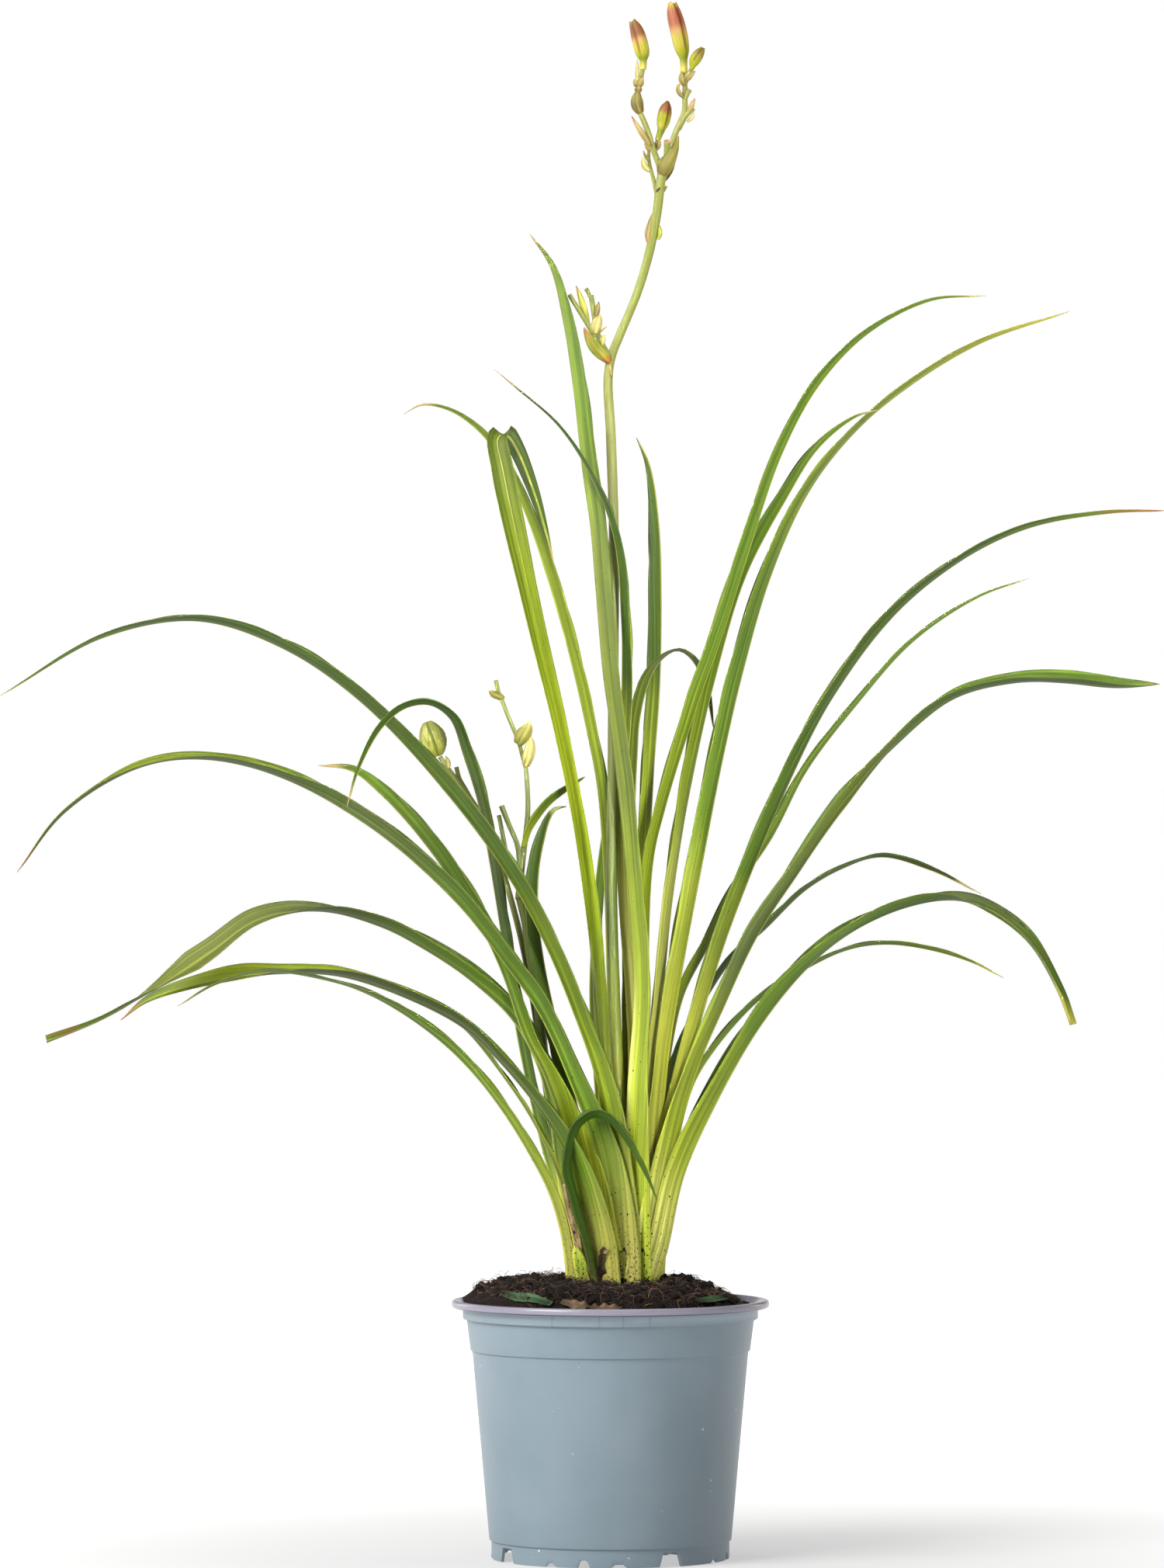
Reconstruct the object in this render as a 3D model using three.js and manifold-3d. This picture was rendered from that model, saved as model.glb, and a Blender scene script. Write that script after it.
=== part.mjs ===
// Daylily in a plastic nursery pot: pot, peat, root crown, keeled strap leaves, flower stems, buds and a seed
// capsule.
// Units are millimetres and +Z is up. The pot's axis is the Z axis, it stands on z = 0, and the front is -Y.
import * as THREE from "three";
import { mergeVertices } from "three/addons/utils/BufferGeometryUtils.js";
import Module from "manifold-3d";

const wasm = await Module();
wasm.setup();

// ---- driving dimensions --------------------------------------------------------------------------

// Pot, as radii and heights of its outer wall.
const RIM_RADIUS = 85;
const RIM_TOP = 138;
const RIM_HEIGHT = 4.4;
const RIM_WIDTH = 4.5;
const COLLAR_RADIUS = 79;
const COLLAR_BOTTOM = 128;
const BAND_TOP_RADIUS = 77;
const SHOULDER_Z = 111;
const SHOULDER_RADIUS = 74.8;
const WALL_TOP_RADIUS = 73.9;
const WALL_BOTTOM_RADIUS = 64.8;
const FOOT_Z = 9.7;
const FOOT_RADIUS = 63.7;
const WALL = 1.6;
const FLOOR_UNDERSIDE = 6;
const FLOOR_THICKNESS = 2.5;
const HUB_RADIUS = 9;
const DRAIN_RADIUS = 4;
const DRAIN_CIRCLE = 46;

// Peat and root crown.
const GAP = 0.3;
const SOIL_RADIUS = 75.2;
const SOIL_EDGE_RIGHT = 131;
const SOIL_EDGE_LEFT = 139;
const SOIL_TOP = 148;
const CROWN_TOP = 142;
const CROWN_HEIGHT = 22;
const CROWN_MIN = [-27, -24];
const CROWN_MAX = [32, 31];
const CROWN_CORNER = 12;

// Leaves stand on the crown with the gap that touching pieces keep.
const SEAT = CROWN_TOP + GAP;
const BLADE = 0.8;
const BASE_WIDTH_SHARE = 0.66;
const TIP_HALF_WIDTH = 0.7;
const TAPER = 3.2;
const STATION_SPACING = 27;

// Directions that a leaf leans to, as an angle from +X towards +Y.
const RIGHT = 0;
const BACK = 90;
const LEFT = 180;

// ---- materials -----------------------------------------------------------------------------------

const material = (color, roughness) => new THREE.MeshStandardMaterial({ color, roughness, metalness: 0 });
const POT_PLASTIC = material("#9fb1ba", 0.45);
const PEAT = material("#2f211b", 0.95);
const ROOT = material("#8c7350", 0.8);
const LEAF = material("#7f9f3c", 0.5);
const YOUNG_LEAF = material("#a4bd4c", 0.5);
const DARK_LEAF = material("#4d6b34", 0.5);
const STEM = material("#a9b66b", 0.5);
const BUD = material("#b07a3e", 0.45);
const CAPSULE = material("#a9b24b", 0.5);
const DRY = material("#b39a72", 0.85);

const plant = new THREE.Group();

// ---- solids --------------------------------------------------------------------------------------

const rad = (degrees) => (degrees * Math.PI) / 180;

// Reads a list of values spread evenly from 0 to 1 at t, with a straight line between two of them.
function along(values, t) {
  const place = Math.min(Math.max(t, 0), 1) * (values.length - 1);
  const low = Math.min(Math.floor(place), values.length - 2);
  return values.length === 1 ? values[0] : values[low] + (values[low + 1] - values[low]) * (place - low);
}

// Joins the vertices of a geometry and turns its faces outward.
function closed(geometry) {
  const bare = geometry.index ? geometry.clone() : geometry;
  bare.deleteAttribute("normal");
  bare.deleteAttribute("uv");
  const merged = mergeVertices(bare, 1e-4);
  const { array } = merged.attributes.position;
  const index = Array.from(merged.index.array);
  const corner = (i) => new THREE.Vector3().fromArray(array, 3 * index[i]);
  let volume = 0;
  for (let i = 0; i < index.length; i += 3) {
    volume += corner(i).dot(corner(i + 1).cross(corner(i + 2)));
  }
  if (volume < 0) {
    for (let i = 0; i < index.length; i += 3) {
      [index[i], index[i + 1]] = [index[i + 1], index[i]];
    }
    merged.setIndex(index);
  }
  return merged;
}

function toSolid(geometry) {
  const bare = closed(geometry);
  const vertProperties = new Float32Array(bare.attributes.position.array);
  const triVerts = new Uint32Array(bare.index.array);
  return new wasm.Manifold(new wasm.Mesh({ numProp: 3, vertProperties, triVerts }));
}

function toGeometry(body) {
  const mesh = body.getMesh();
  const geometry = new THREE.BufferGeometry();
  geometry.setAttribute("position", new THREE.BufferAttribute(mesh.vertProperties, 3));
  geometry.setIndex(new THREE.BufferAttribute(mesh.triVerts, 1));
  return geometry;
}

function smoothLine(points) {
  return new THREE.CatmullRomCurve3(points.map((p) => new THREE.Vector3(...p)), false, "centripetal");
}

// A line that stands on the crown leaves it straight up.
function upright(points) {
  const [[x, y, z], ...rest] = points;
  return z === SEAT ? [[x, y, z], [x, y, z + SOIL_TOP - CROWN_TOP], ...rest] : points;
}

function fuse(geometries) {
  return toGeometry(geometries.map(toSolid).reduce((whole, piece) => whole.add(piece)));
}

function add(name, geometry, surface) {
  const mesh = new THREE.Mesh(geometry.index ? geometry : closed(geometry), surface);
  mesh.name = name;
  plant.add(mesh);
}

// Skins a row of rings with equal numbers of points. The cap is a list of triangles on a ring's own numbers.
function skin(rings, cap) {
  const count = rings[0].length;
  const points = rings.flat().flatMap((p) => [p.x, p.y, p.z]);
  const index = [];
  for (let row = 0; row < rings.length - 1; row += 1) {
    for (let i = 0; i < count; i += 1) {
      const a = row * count + i;
      const b = row * count + ((i + 1) % count);
      index.push(a, b, b + count, a, b + count, a + count);
    }
  }
  const last = (rings.length - 1) * count;
  for (const [a, b, c] of cap) {
    index.push(c, b, a);
    index.push(last + a, last + b, last + c);
  }
  const geometry = new THREE.BufferGeometry();
  geometry.setAttribute("position", new THREE.Float32BufferAttribute(points, 3));
  geometry.setIndex(index);
  return closed(geometry);
}

// The cap of a round section: a fan of triangles from its first point.
function roundCap(sides) {
  return Array.from({ length: sides - 2 }, (_, k) => [0, k + 1, k + 2]);
}

// ---- leaves --------------------------------------------------------------------------------------

// The share of its full half width that a strap leaf has at t: narrower at the base, then tapering to the
// tip, the more suddenly the higher the power "taper" is.
function strapWidth(t, taper = TAPER) {
  const root = BASE_WIDTH_SHARE + (1 - BASE_WIDTH_SHARE) * THREE.MathUtils.smoothstep(t, 0, 0.35);
  const tip = t < 0.5 ? 1 : 1 - ((t - 0.5) / 0.5) ** taper;
  return root * Math.max(tip, 0);
}

// Corners of a keeled blade's section, in order round it: upper edge, upper midrib, upper edge, then the
// three of the underside. The upper face opens towards "up", and the leaf's line runs through its middle.
const BLADE_CAP = [[0, 1, 4], [0, 4, 5], [1, 2, 3], [1, 3, 4]];

// A strap leaf along a smooth line. leansTo is the way it arches, fold the half angle of its V from base to
// tip, turn how far its upper face is twisted towards the front, and wave the height of its ruffled edges.
function leafGeometry(leaf) {
  const { leansTo, halfWidth } = leaf;
  const { fold, turn = [0], wave = 0.35, waves = 7, taper, widthAt = strapWidth } = leaf;
  const curve = smoothLine(upright(leaf.line));
  const steps = leaf.steps ?? Math.max(8, Math.round(curve.getLength() / STATION_SPACING));
  const across = new THREE.Vector3(Math.sin(rad(leansTo)), -Math.cos(rad(leansTo)), 0);
  const frontSign = Math.cos(rad(leansTo)) < -0.01 ? -1 : 1;
  const rings = [];
  for (let i = 0; i <= steps; i += 1) {
    const t = i / steps;
    const middle = curve.getPointAt(t);
    const tangent = curve.getTangentAt(t);
    const side = across.clone().addScaledVector(tangent, -across.dot(tangent)).normalize();
    const inward = side.clone().cross(tangent).normalize();
    const twist = rad(along(turn, t));
    const up = inward.clone().multiplyScalar(Math.cos(twist));
    up.addScaledVector(side, frontSign * Math.sin(twist));
    const wide = up.clone().cross(tangent).normalize();
    const half = rad(along(fold, t));
    const width = Math.max(halfWidth * widthAt(t, taper), TIP_HALF_WIDTH);
    const depth = width * Math.cos(half);
    const thick = BLADE / Math.sin(half);
    const drop = up.clone().multiplyScalar(-thick);
    const ripple = wave * Math.sin(2 * Math.PI * waves * t) * Math.min(1, 3 * t) * (width / halfWidth);
    const edge = (sign) => middle.clone()
      .addScaledVector(up, (depth + thick) / 2 + sign * ripple)
      .addScaledVector(wide, sign * width * Math.sin(half));
    const upper = [edge(-1), middle.clone().addScaledVector(up, (thick - depth) / 2), edge(1)];
    const under = upper.map((p) => p.clone().add(drop)).reverse();
    rings.push([...upper, ...under]);
  }
  return skin(rings, BLADE_CAP);
}

function addLeaf(name, leaf, surface = LEAF) {
  add(name, leafGeometry(leaf), surface);
}

// Left-hand leaves, from the highest arch down to the lowest.
addLeaf("leaf_left_high", {
  leansTo: LEFT,
  line: [[4.6, -10, SEAT], [4.6, -11, 175], [-1.5, -13, 248], [-18, -15, 298], [-46, -15, 358],
    [-89, -10, 417], [-137, 3, 464.7], [-177.5, 14, 490.5], [-223, 26, 503.5], [-274, 38, 494],
    [-330, 50, 462]],
  halfWidth: 10,
  fold: [30, 32, 40, 46, 40, 38, 52, 56, 67, 72, 66],
});
addLeaf("leaf_left_second", {
  leansTo: LEFT,
  line: [[0.9, -10, SEAT], [0.7, -10, 170], [-4, -12, 215], [-20, -14, 261], [-35, -14, 294],
    [-53, -14, 320], [-80, -14, 354], [-125.4, -11, 393.4], [-173, -8, 419], [-216, -8, 428.7],
    [-252, -12, 423.8], [-291.5, -20, 399.3], [-316, -26, 367]],
  halfWidth: 10,
  fold: [30, 32, 34, 38, 40, 40, 46, 64, 73, 72, 62],
  turn: [0, 0, 0, 0, 0, 0, 0, 6, 12, 6, 0],
});
addLeaf("leaf_left_veined", {
  leansTo: LEFT,
  line: [[-9, 4, SEAT], [-11.5, 4, 175], [-19, 3, 217], [-32, 2, 258], [-44, 1, 282], [-55.7, 1, 316],
    [-68, 1, 342], [-84, 2, 367.5], [-103, 3, 392.4], [-121.6, 5, 411], [-138.4, 7, 422.6],
    [-157, 10, 424]],
  halfWidth: 9.6,
  fold: [46, 50, 48, 46, 48, 50, 46, 36, 30, 28, 40],
  taper: 4,
}, YOUNG_LEAF);
addLeaf("leaf_left_bent", {
  leansTo: LEFT,
  line: [[-18, 15, SEAT], [-22, 16, 175], [-35, 21, 221], [-46, 27.9, 271], [-55.3, 27.7, 329],
    [-62, 19, 372], [-68.4, 10, 406], [-76.5, 1, 432], [-84, -8, 450], [-96.7, -17, 457.8],
    [-110.7, -24, 455.4], [-123.3, -30, 444], [-134.2, -36, 422.5], [-140, -40, 402]],
  halfWidth: 8.2,
  fold: [40, 44, 50, 50, 50, 50, 48, 40, 64, 52, 50],
  steps: 26,
});
addLeaf("leaf_left_wavy", {
  leansTo: LEFT,
  line: [[-17, 4, SEAT], [-19, 4, 165], [-26, 8, 210], [-29, 13.3, 235], [-35, 16.4, 262], [-49, 15.2, 289],
    [-71.5, 12, 310.7], [-97.5, 8, 328], [-122, 4, 340], [-156, -2, 347.8], [-189, -8, 342.4],
    [-214.6, -14, 324.5], [-247, -20, 303], [-272.3, -26, 288.6], [-300, -32, 278]],
  halfWidth: 10.5,
  fold: [30, 34, 38, 40, 42, 52, 68, 74, 76, 82, 70],
  turn: [0, 0, 0, 0, 0, 0, 0, 22, 42, -12, -40],
  widthAt: (t) => strapWidth(0.84 * t) * (1 - 0.55 * THREE.MathUtils.smoothstep(t, 0.82, 0.93)),
  wave: 0.9,
  waves: 4,
  steps: 24,
});
addLeaf("leaf_left_dark", {
  leansTo: LEFT,
  line: [[-8.6, -7, SEAT], [-10, -8, 172], [-16.5, -10, 202], [-26, -11, 226], [-38, -12, 244],
    [-58, -13, 268], [-76.3, -13, 285.4], [-101.6, -12, 299.4], [-144, -9, 313.4], [-186, -6, 313.7],
    [-215, -3, 309.2], [-247.4, 1, 298.8], [-262.4, 3, 287.5]],
  halfWidth: 10.2,
  fold: [40, 48, 58, 62, 62, 57, 60, 66, 68, 68, 60],
  turn: [0, 0, 0, 0, 0, 0, 0, 4, 30, 42, 40],
}, DARK_LEAF);
addLeaf("leaf_left_narrow", {
  leansTo: LEFT,
  line: [[-15.2, -7, SEAT], [-17.4, -7, 172], [-21.5, -7, 190], [-31, -5, 215], [-43, -3, 238],
    [-60.4, -1, 263], [-76, 0, 282], [-90, 1, 293], [-110, 1, 303], [-138, 0, 312]],
  halfWidth: 4.8,
  fold: [48, 60, 66, 70, 66, 60],
}, YOUNG_LEAF);
addLeaf("leaf_left_lowest", {
  leansTo: LEFT,
  line: [[-20.6, -7, SEAT], [-23.5, -8, 172], [-30.5, -11, 196], [-42.8, -14, 220], [-58.8, -17, 245],
    [-75, -20, 265], [-91.2, -23, 280.4], [-118, -26, 298.2], [-143.2, -28, 308.3], [-183, -32, 315],
    [-210, -35, 308], [-230, -38, 296]],
  halfWidth: 7.8,
  fold: [34, 42, 50, 56, 58, 55, 64, 80, 74, 72, 72],
}, YOUNG_LEAF);
addLeaf("leaf_left_hooked", {
  leansTo: RIGHT,
  line: [[-6, 15, SEAT], [-12, 18, 200], [-26, 20, 260], [-35, 14, 298], [-38.5, 12, 315], [-42, 11, 340],
    [-42.4, 11, 358], [-41, 11, 372], [-37.7, 11, 385.5], [-34.2, 11, 395], [-30, 11, 400.7],
    [-23.5, 11, 402]],
  halfWidth: 8.6,
  fold: [30, 32, 34, 36, 38, 40, 40, 34, 28, 28],
  steps: 18,
  taper: 5,
});

// Middle leaves.
addLeaf("leaf_tall", {
  leansTo: LEFT,
  line: [[10.5, -10, SEAT], [13, -11, 200], [17.7, -12.6, 250], [19.3, -13.2, 300], [14, -13.8, 351],
    [11, -12.8, 385], [4.4, -8.6, 444], [0.3, -6, 474], [-3.5, -2, 520], [-6.2, 1, 552], [-10.9, 3, 584],
    [-16.1, 5, 627], [-22.5, 5, 663], [-31, 4, 692], [-43.5, 2, 709]],
  halfWidth: 9.8,
  fold: [30, 32, 34, 34, 34, 34, 32, 28, 30, 28, 26],
  taper: 5,
}, YOUNG_LEAF);
addLeaf("leaf_tall_thin_tip", {
  leansTo: LEFT,
  line: [[7, 12, SEAT], [10.4, 13, 200], [12.8, 14, 266], [11.4, 14, 300], [6.4, 12.2, 376], [7, 9.5, 424],
    [9, 3, 470], [8.6, -1.4, 500], [3.5, -7, 547], [-9, -9, 578], [-28, -15, 606], [-51, -19, 626],
    [-62, -22, 635]],
  halfWidth: 7.6,
  fold: [30, 32, 34, 36, 38, 40, 44, 48, 58, 76, 72],
}, YOUNG_LEAF);
addLeaf("leaf_folded", {
  leansTo: BACK,
  line: [[1.5, 1, SEAT], [-2, 0, 220], [-9, -1, 330], [-15.6, -2, 386], [-26.8, -3, 445], [-38.2, -4, 493],
    [-49, -4, 541], [-58, -3, 584], [-60.6, 0, 599], [-57, 5, 603], [-50.5, 8.5, 594], [-41.5, 10, 572],
    [-35, 10, 550.5], [-30.2, 8, 532]],
  halfWidth: 8,
  fold: [30, 32, 34, 32, 28, 26, 32, 40, 60, 50, 50],
  steps: 36,
  turn: [90, 90, 75, 40, 12, 0, 0, 0, 0, 0, 0],
  taper: 4.5,
}, YOUNG_LEAF);
addLeaf("leaf_tall_back", {
  leansTo: LEFT,
  line: [[2.5, 12, SEAT], [2.2, 15, 260], [-3.2, 18.6, 405], [-10.1, 18.2, 444.7], [-20, 17, 487.6],
    [-30.7, 16, 524.5], [-43, 16, 559.5], [-61, 15, 595], [-83, 16, 614], [-101, 18, 618], [-111, 20, 613]],
  halfWidth: 7,
  fold: [30, 32, 34, 36, 38, 38, 38, 32, 34, 44, 60],
  taper: 4,
});
addLeaf("leaf_inner_low", {
  leansTo: LEFT,
  line: [[1, 23, SEAT], [-3, 24, 220], [-8, 26, 293], [-8, 27, 315], [-5, 28, 367], [-2, 28, 393],
    [1.5, 28, 418]],
  halfWidth: 7.2,
  fold: [30, 34, 36, 42, 44, 46],
});
addLeaf("leaf_upright", {
  leansTo: RIGHT,
  line: [[13, 23, SEAT], [14.3, 24.5, 300], [16.5, 27, 350], [18.4, 31, 390], [20.2, 34, 425],
    [23, 34, 465], [24, 34, 518], [23.4, 34, 555], [20, 34, 586], [14, 34, 601]],
  halfWidth: 8.6,
  fold: [30, 32, 34, 36, 40, 38, 32, 26, 30],
  taper: 5,
});
addLeaf("leaf_hooked", {
  leansTo: RIGHT,
  line: [[9, 23, SEAT], [9.5, 24.5, 300], [10.2, 24.5, 397], [11.5, 22, 430], [13, 20.5, 450],
    [18.5, 20, 470], [27, 20, 482], [37, 20, 486.4], [45.2, 20.6, 481.4], [52, 21.4, 467], [56, 22, 442]],
  halfWidth: 7.6,
  fold: [30, 31, 32, 33, 34, 36, 38, 40, 42, 42, 40, 38, 38, 80, 34, 44],
  steps: 24,
  taper: 4.5,
});

// Right-hand leaves, from the left one over to the lowest.
addLeaf("leaf_right_first", {
  leansTo: RIGHT,
  line: [[16, 1, SEAT], [17, 0.6, 260], [19.5, 0.4, 369], [26.5, -0.8, 402], [43.5, -1.3, 458],
    [56, -2.4, 493], [71, -4.4, 539], [89.3, -6.4, 591.3], [109.4, -10, 627.6], [136, -15, 655], [170, -20, 672],
    [200, -24, 674]],
  halfWidth: 9,
  fold: [30, 34, 40, 48, 54, 44, 40, 50, 54, 60, 66],
});
addLeaf("leaf_right_second", {
  leansTo: RIGHT,
  line: [[18.6, 12, SEAT], [20.8, 12, 249], [25.4, 11, 300], [31, 12, 355], [40.8, 12.4, 416.7],
    [51.5, 10.4, 467], [69.3, 9, 527], [91.8, 6, 568.3], [109.4, 2, 594.2], [130.4, -4, 610.4],
    [143, -9, 614]],
  halfWidth: 9.8,
  fold: [34, 42, 52, 58, 59, 57, 46, 40, 40, 48, 66],
  taper: 4.5,
});
addLeaf("leaf_right_third", {
  leansTo: RIGHT,
  line: [[20, 1, SEAT], [26.8, 2, 262], [34, 3, 313], [45.7, 3, 376], [57.1, 4, 432.7], [67.4, 5, 475.7],
    [81.8, 8, 523.7], [102.2, 12, 568.2], [124, 15, 597.5], [156.2, 21, 626.3], [197.5, 28, 651.8],
    [248, 34, 669]],
  halfWidth: 10.4,
  fold: [30, 32, 34, 35, 36, 40, 46, 60, 73, 60, 60],
}, YOUNG_LEAF);
addLeaf("leaf_right_fourth", {
  leansTo: RIGHT,
  line: [[24, 1, SEAT], [27, 1, 200], [34, 1, 245], [45, 0, 289], [57.5, -2, 330], [72, -5, 368.3],
    [91.9, -8, 414.7], [115.3, -14, 459.8], [150, -20, 506], [187, -27, 535], [222, -33, 551.4],
    [263, -39, 558.4], [296, -44, 559]],
  halfWidth: 9.4,
  fold: [30, 32, 34, 36, 38, 46, 57, 58, 68, 62, 56],
});
addLeaf("leaf_right_spoon", {
  leansTo: RIGHT,
  line: [[18, -10, SEAT], [24, -11, 180], [31, -12, 217], [43, -13, 262], [58, -15, 298], [75, -17, 334],
    [96, -18, 366], [123, -19, 405], [149, -21, 434], [180.6, -25, 460.7], [213, -29, 469.8],
    [242, -32, 470.2], [271, -34, 467], [292, -36, 467]],
  halfWidth: 9.8,
  fold: [30, 32, 34, 36, 39, 42, 45, 50, 50, 42, 72, 64, 64, 62, 50, 54],
  turn: [0, 0, 0, 0, 0, 0, 0, 0, 0, 20, 30],
  widthAt: (t) => strapWidth(t < 0.9 ? 0.75 * t : 0.675 + 3.25 * (t - 0.9)),
  wave: 0.9,
  waves: 4,
});
addLeaf("leaf_right_low_arch", {
  leansTo: RIGHT,
  line: [[21.4, -10, SEAT], [27, -10, 168], [36, -9, 207], [54, -7, 247.5], [74.8, -4, 283.5],
    [99, -2, 314], [126, -1, 336], [157, -1, 350], [183, -4, 354], [202, -8, 348], [223, -14, 332],
    [239, -21, 305], [246, -24, 286]],
  halfWidth: 11,
  fold: [30, 32, 33, 35, 37, 41, 45, 46, 56, 62, 65, 66, 79, 72, 68, 60],
  turn: [0, 0, 0, 0, 0, 0, 0, 0, 15, 20, 20],
  widthAt: (t) => strapWidth(0.92 * t),
  wave: 0.9,
  waves: 4,
});
addLeaf("leaf_right_behind_low", {
  leansTo: RIGHT,
  line: [[22.4, 23, SEAT], [26, 21.5, 200], [32.5, 20, 258], [40, 18, 280], [63, 15, 319], [83, 12, 338],
    [104, 11, 358], [124, 10, 369.5], [146, 9, 376], [172, 9, 369], [199, 10, 355]],
  halfWidth: 6.8,
  fold: [30, 32, 38, 50, 60, 62, 64, 69, 75, 46, 56],
});
addLeaf("leaf_right_behind_high", {
  leansTo: RIGHT,
  line: [[18, 23, SEAT], [19.6, 25.6, 200], [27.5, 29, 252], [37, 27, 300], [51, 24, 328], [65, 21, 356],
    [85, 17, 386], [104, 17, 422], [131, 19, 457], [163, 24, 492], [198, 30, 515], [226, 35, 525]],
  halfWidth: 6.4,
  fold: [30, 34, 38, 42, 46, 50, 52, 60, 66, 64, 68],
});
addLeaf("leaf_right_lowest", {
  leansTo: RIGHT,
  line: [[26.4, 23, SEAT], [31, 22, 200], [42, 20, 250], [54, 18, 271], [78, 16, 298], [100, 15, 313],
    [127.6, 14, 326], [148, 13, 329], [172, 12, 326], [194, 11, 319], [211, 10, 310]],
  halfWidth: 5.8,
  fold: [32, 38, 44, 50, 56, 60, 66, 73, 66, 54, 62],
}, YOUNG_LEAF);

// Short leaves in front of the fans: one curls over to the right, one is a pale pointed sheath.
addLeaf("leaf_front_curled", {
  leansTo: RIGHT,
  line: [[-8, -17, SEAT], [-9.5, -17.5, 155], [-13, -18, 170], [-17, -19, 184], [-21, -20, 198],
    [-23.5, -21.5, 210], [-22, -23, 222], [-17, -25.5, 234], [-8, -28, 239], [0, -30, 236], [10, -33, 224],
    [20, -35, 205], [24.7, -36, 193]],
  halfWidth: 6,
  fold: [34, 36, 36, 38, 44, 50, 56],
  steps: 18,
}, DARK_LEAF);
addLeaf("leaf_front_sheath", {
  leansTo: LEFT,
  line: [[-14.4, -16.4, SEAT], [-15.6, -16.6, 152], [-19, -17.4, 168]],
  halfWidth: 4,
  fold: [34, 40],
  steps: 4,
}, YOUNG_LEAF);
addLeaf("dried_sheath", {
  leansTo: LEFT,
  line: [[-17, -1.3, SEAT], [-19.5, -1.3, 165], [-25, -1.3, 198]],
  halfWidth: 3.8,
  fold: [84],
  turn: [90],
  steps: 5,
}, DRY);
addLeaf("dried_stub", {
  leansTo: LEFT,
  line: [[-4.4, -15.6, SEAT], [-4.8, -16, 155], [-4.4, -16.6, 166]],
  halfWidth: 2.2,
  fold: [50],
  turn: [60],
  steps: 3,
}, DRY);

// ---- flower stems --------------------------------------------------------------------------------

// A stem or branch along a smooth line, with its radius from foot to top and flat ends.
function stalk({ line, radius, sides = 5, steps }) {
  const curve = smoothLine(upright(line));
  const count = steps ?? Math.max(2, Math.round(curve.getLength() / STATION_SPACING));
  const frames = curve.computeFrenetFrames(count);
  const rings = [];
  for (let i = 0; i <= count; i += 1) {
    const middle = curve.getPointAt(i / count);
    const r = along(radius, i / count);
    rings.push(Array.from({ length: sides }, (_, k) => middle.clone()
      .addScaledVector(frames.normals[i], r * Math.cos((2 * Math.PI * k) / sides))
      .addScaledVector(frames.binormals[i], r * Math.sin((2 * Math.PI * k) / sides))));
  }
  return skin(rings, roundCap(sides));
}

// A small boat-shaped bract that clasps a stem at its foot and ends in a point.
function bract({ line, leansTo, halfWidth, fold = [50, 44, 38], turn = [0] }) {
  const widthAt = (t) => 0.55 + 1.1 * t - 1.6 * t * t;
  return leafGeometry({ line, leansTo, halfWidth, fold, turn, wave: 0, widthAt, steps: 4 });
}

// Main stem: it rises through the middle fan, swings right at a node and forks at the top.
const mainStem = stalk({
  line: [[9, 1, SEAT], [6.5, 2, 200], [4.8, 3, 244], [2.3, 4, 300], [0.8, 5, 350], [1.2, 6, 418],
    [1.6, 8, 480], [1.9, 9, 543], [0.2, 10, 601], [-1.2, 10, 632], [0.8, 10, 644], [5.6, 9, 656],
    [14.3, 7, 677], [20.6, 5, 698], [24.8, 3, 719], [27.2, 2, 738]],
  radius: [3.3, 3.1, 3, 2.9, 2.8, 2.7, 2.5, 2.3, 2.5],
  sides: 8,
  steps: 24,
});

// The node's side cluster: a boat bract, a pale branch with two cut stubs, and three thin dry bracts.
const sideCluster = [
  bract({ line: [[-1, 8, 639], [-7, 7, 646], [-13.5, 6, 657]], leansTo: LEFT, halfWidth: 5.4 }),
  stalk({ line: [[0, 10, 643], [-5, 9, 649], [-10, 8, 656]], radius: [1.9, 1.7], steps: 3 }),
  stalk({ line: [[-9, 8.4, 654], [-16, 6, 666], [-22, 5, 676]], radius: [1.6, 1.5], steps: 2 }),
  stalk({ line: [[-9, 7.8, 654], [-10, 10, 665], [-12, 11, 677]], radius: [1.4, 1.3], steps: 2 }),
  bract({ line: [[-10.5, 10.5, 656], [-15, 13, 668], [-19, 14, 680]], leansTo: LEFT, halfWidth: 2.4 }),
  bract({ line: [[-8, 6.5, 655], [-6.5, 4.5, 661], [-5.5, 4, 671]], leansTo: RIGHT, halfWidth: 3 }),
  bract({ line: [[-1, 11, 645], [-4, 13, 651], [-5.5, 14, 659]], leansTo: LEFT, halfWidth: 3 }),
];

// A dry bract and a small green bud scar part of the way up.
const budScar = [
  bract({ line: [[22.4, 4, 706], [19, 2, 707], [17.5, 1, 712]], leansTo: LEFT, halfWidth: 2.2 }),
  stalk({ line: [[21.5, 4.5, 705], [25, 5, 708], [27, 5, 711]], radius: [1.3, 0.9], steps: 2 }),
];

// Fork at the top: the big boat bract, the cut stub within it, and a smaller bract.
const fork = [
  bract({ line: [[26.4, 1.4, 733], [32, -1, 745], [36.5, -2, 760]], leansTo: RIGHT, halfWidth: 7.2 }),
  stalk({ line: [[26.8, 3, 736], [29.5, 4, 747], [30.2, 5, 758.5]], radius: [1.9, 1.6], steps: 2 }),
  bract({ line: [[26, 3, 736], [21.5, 3, 743], [18.5, 3, 752]], leansTo: LEFT, halfWidth: 3.2 }),
];

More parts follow.
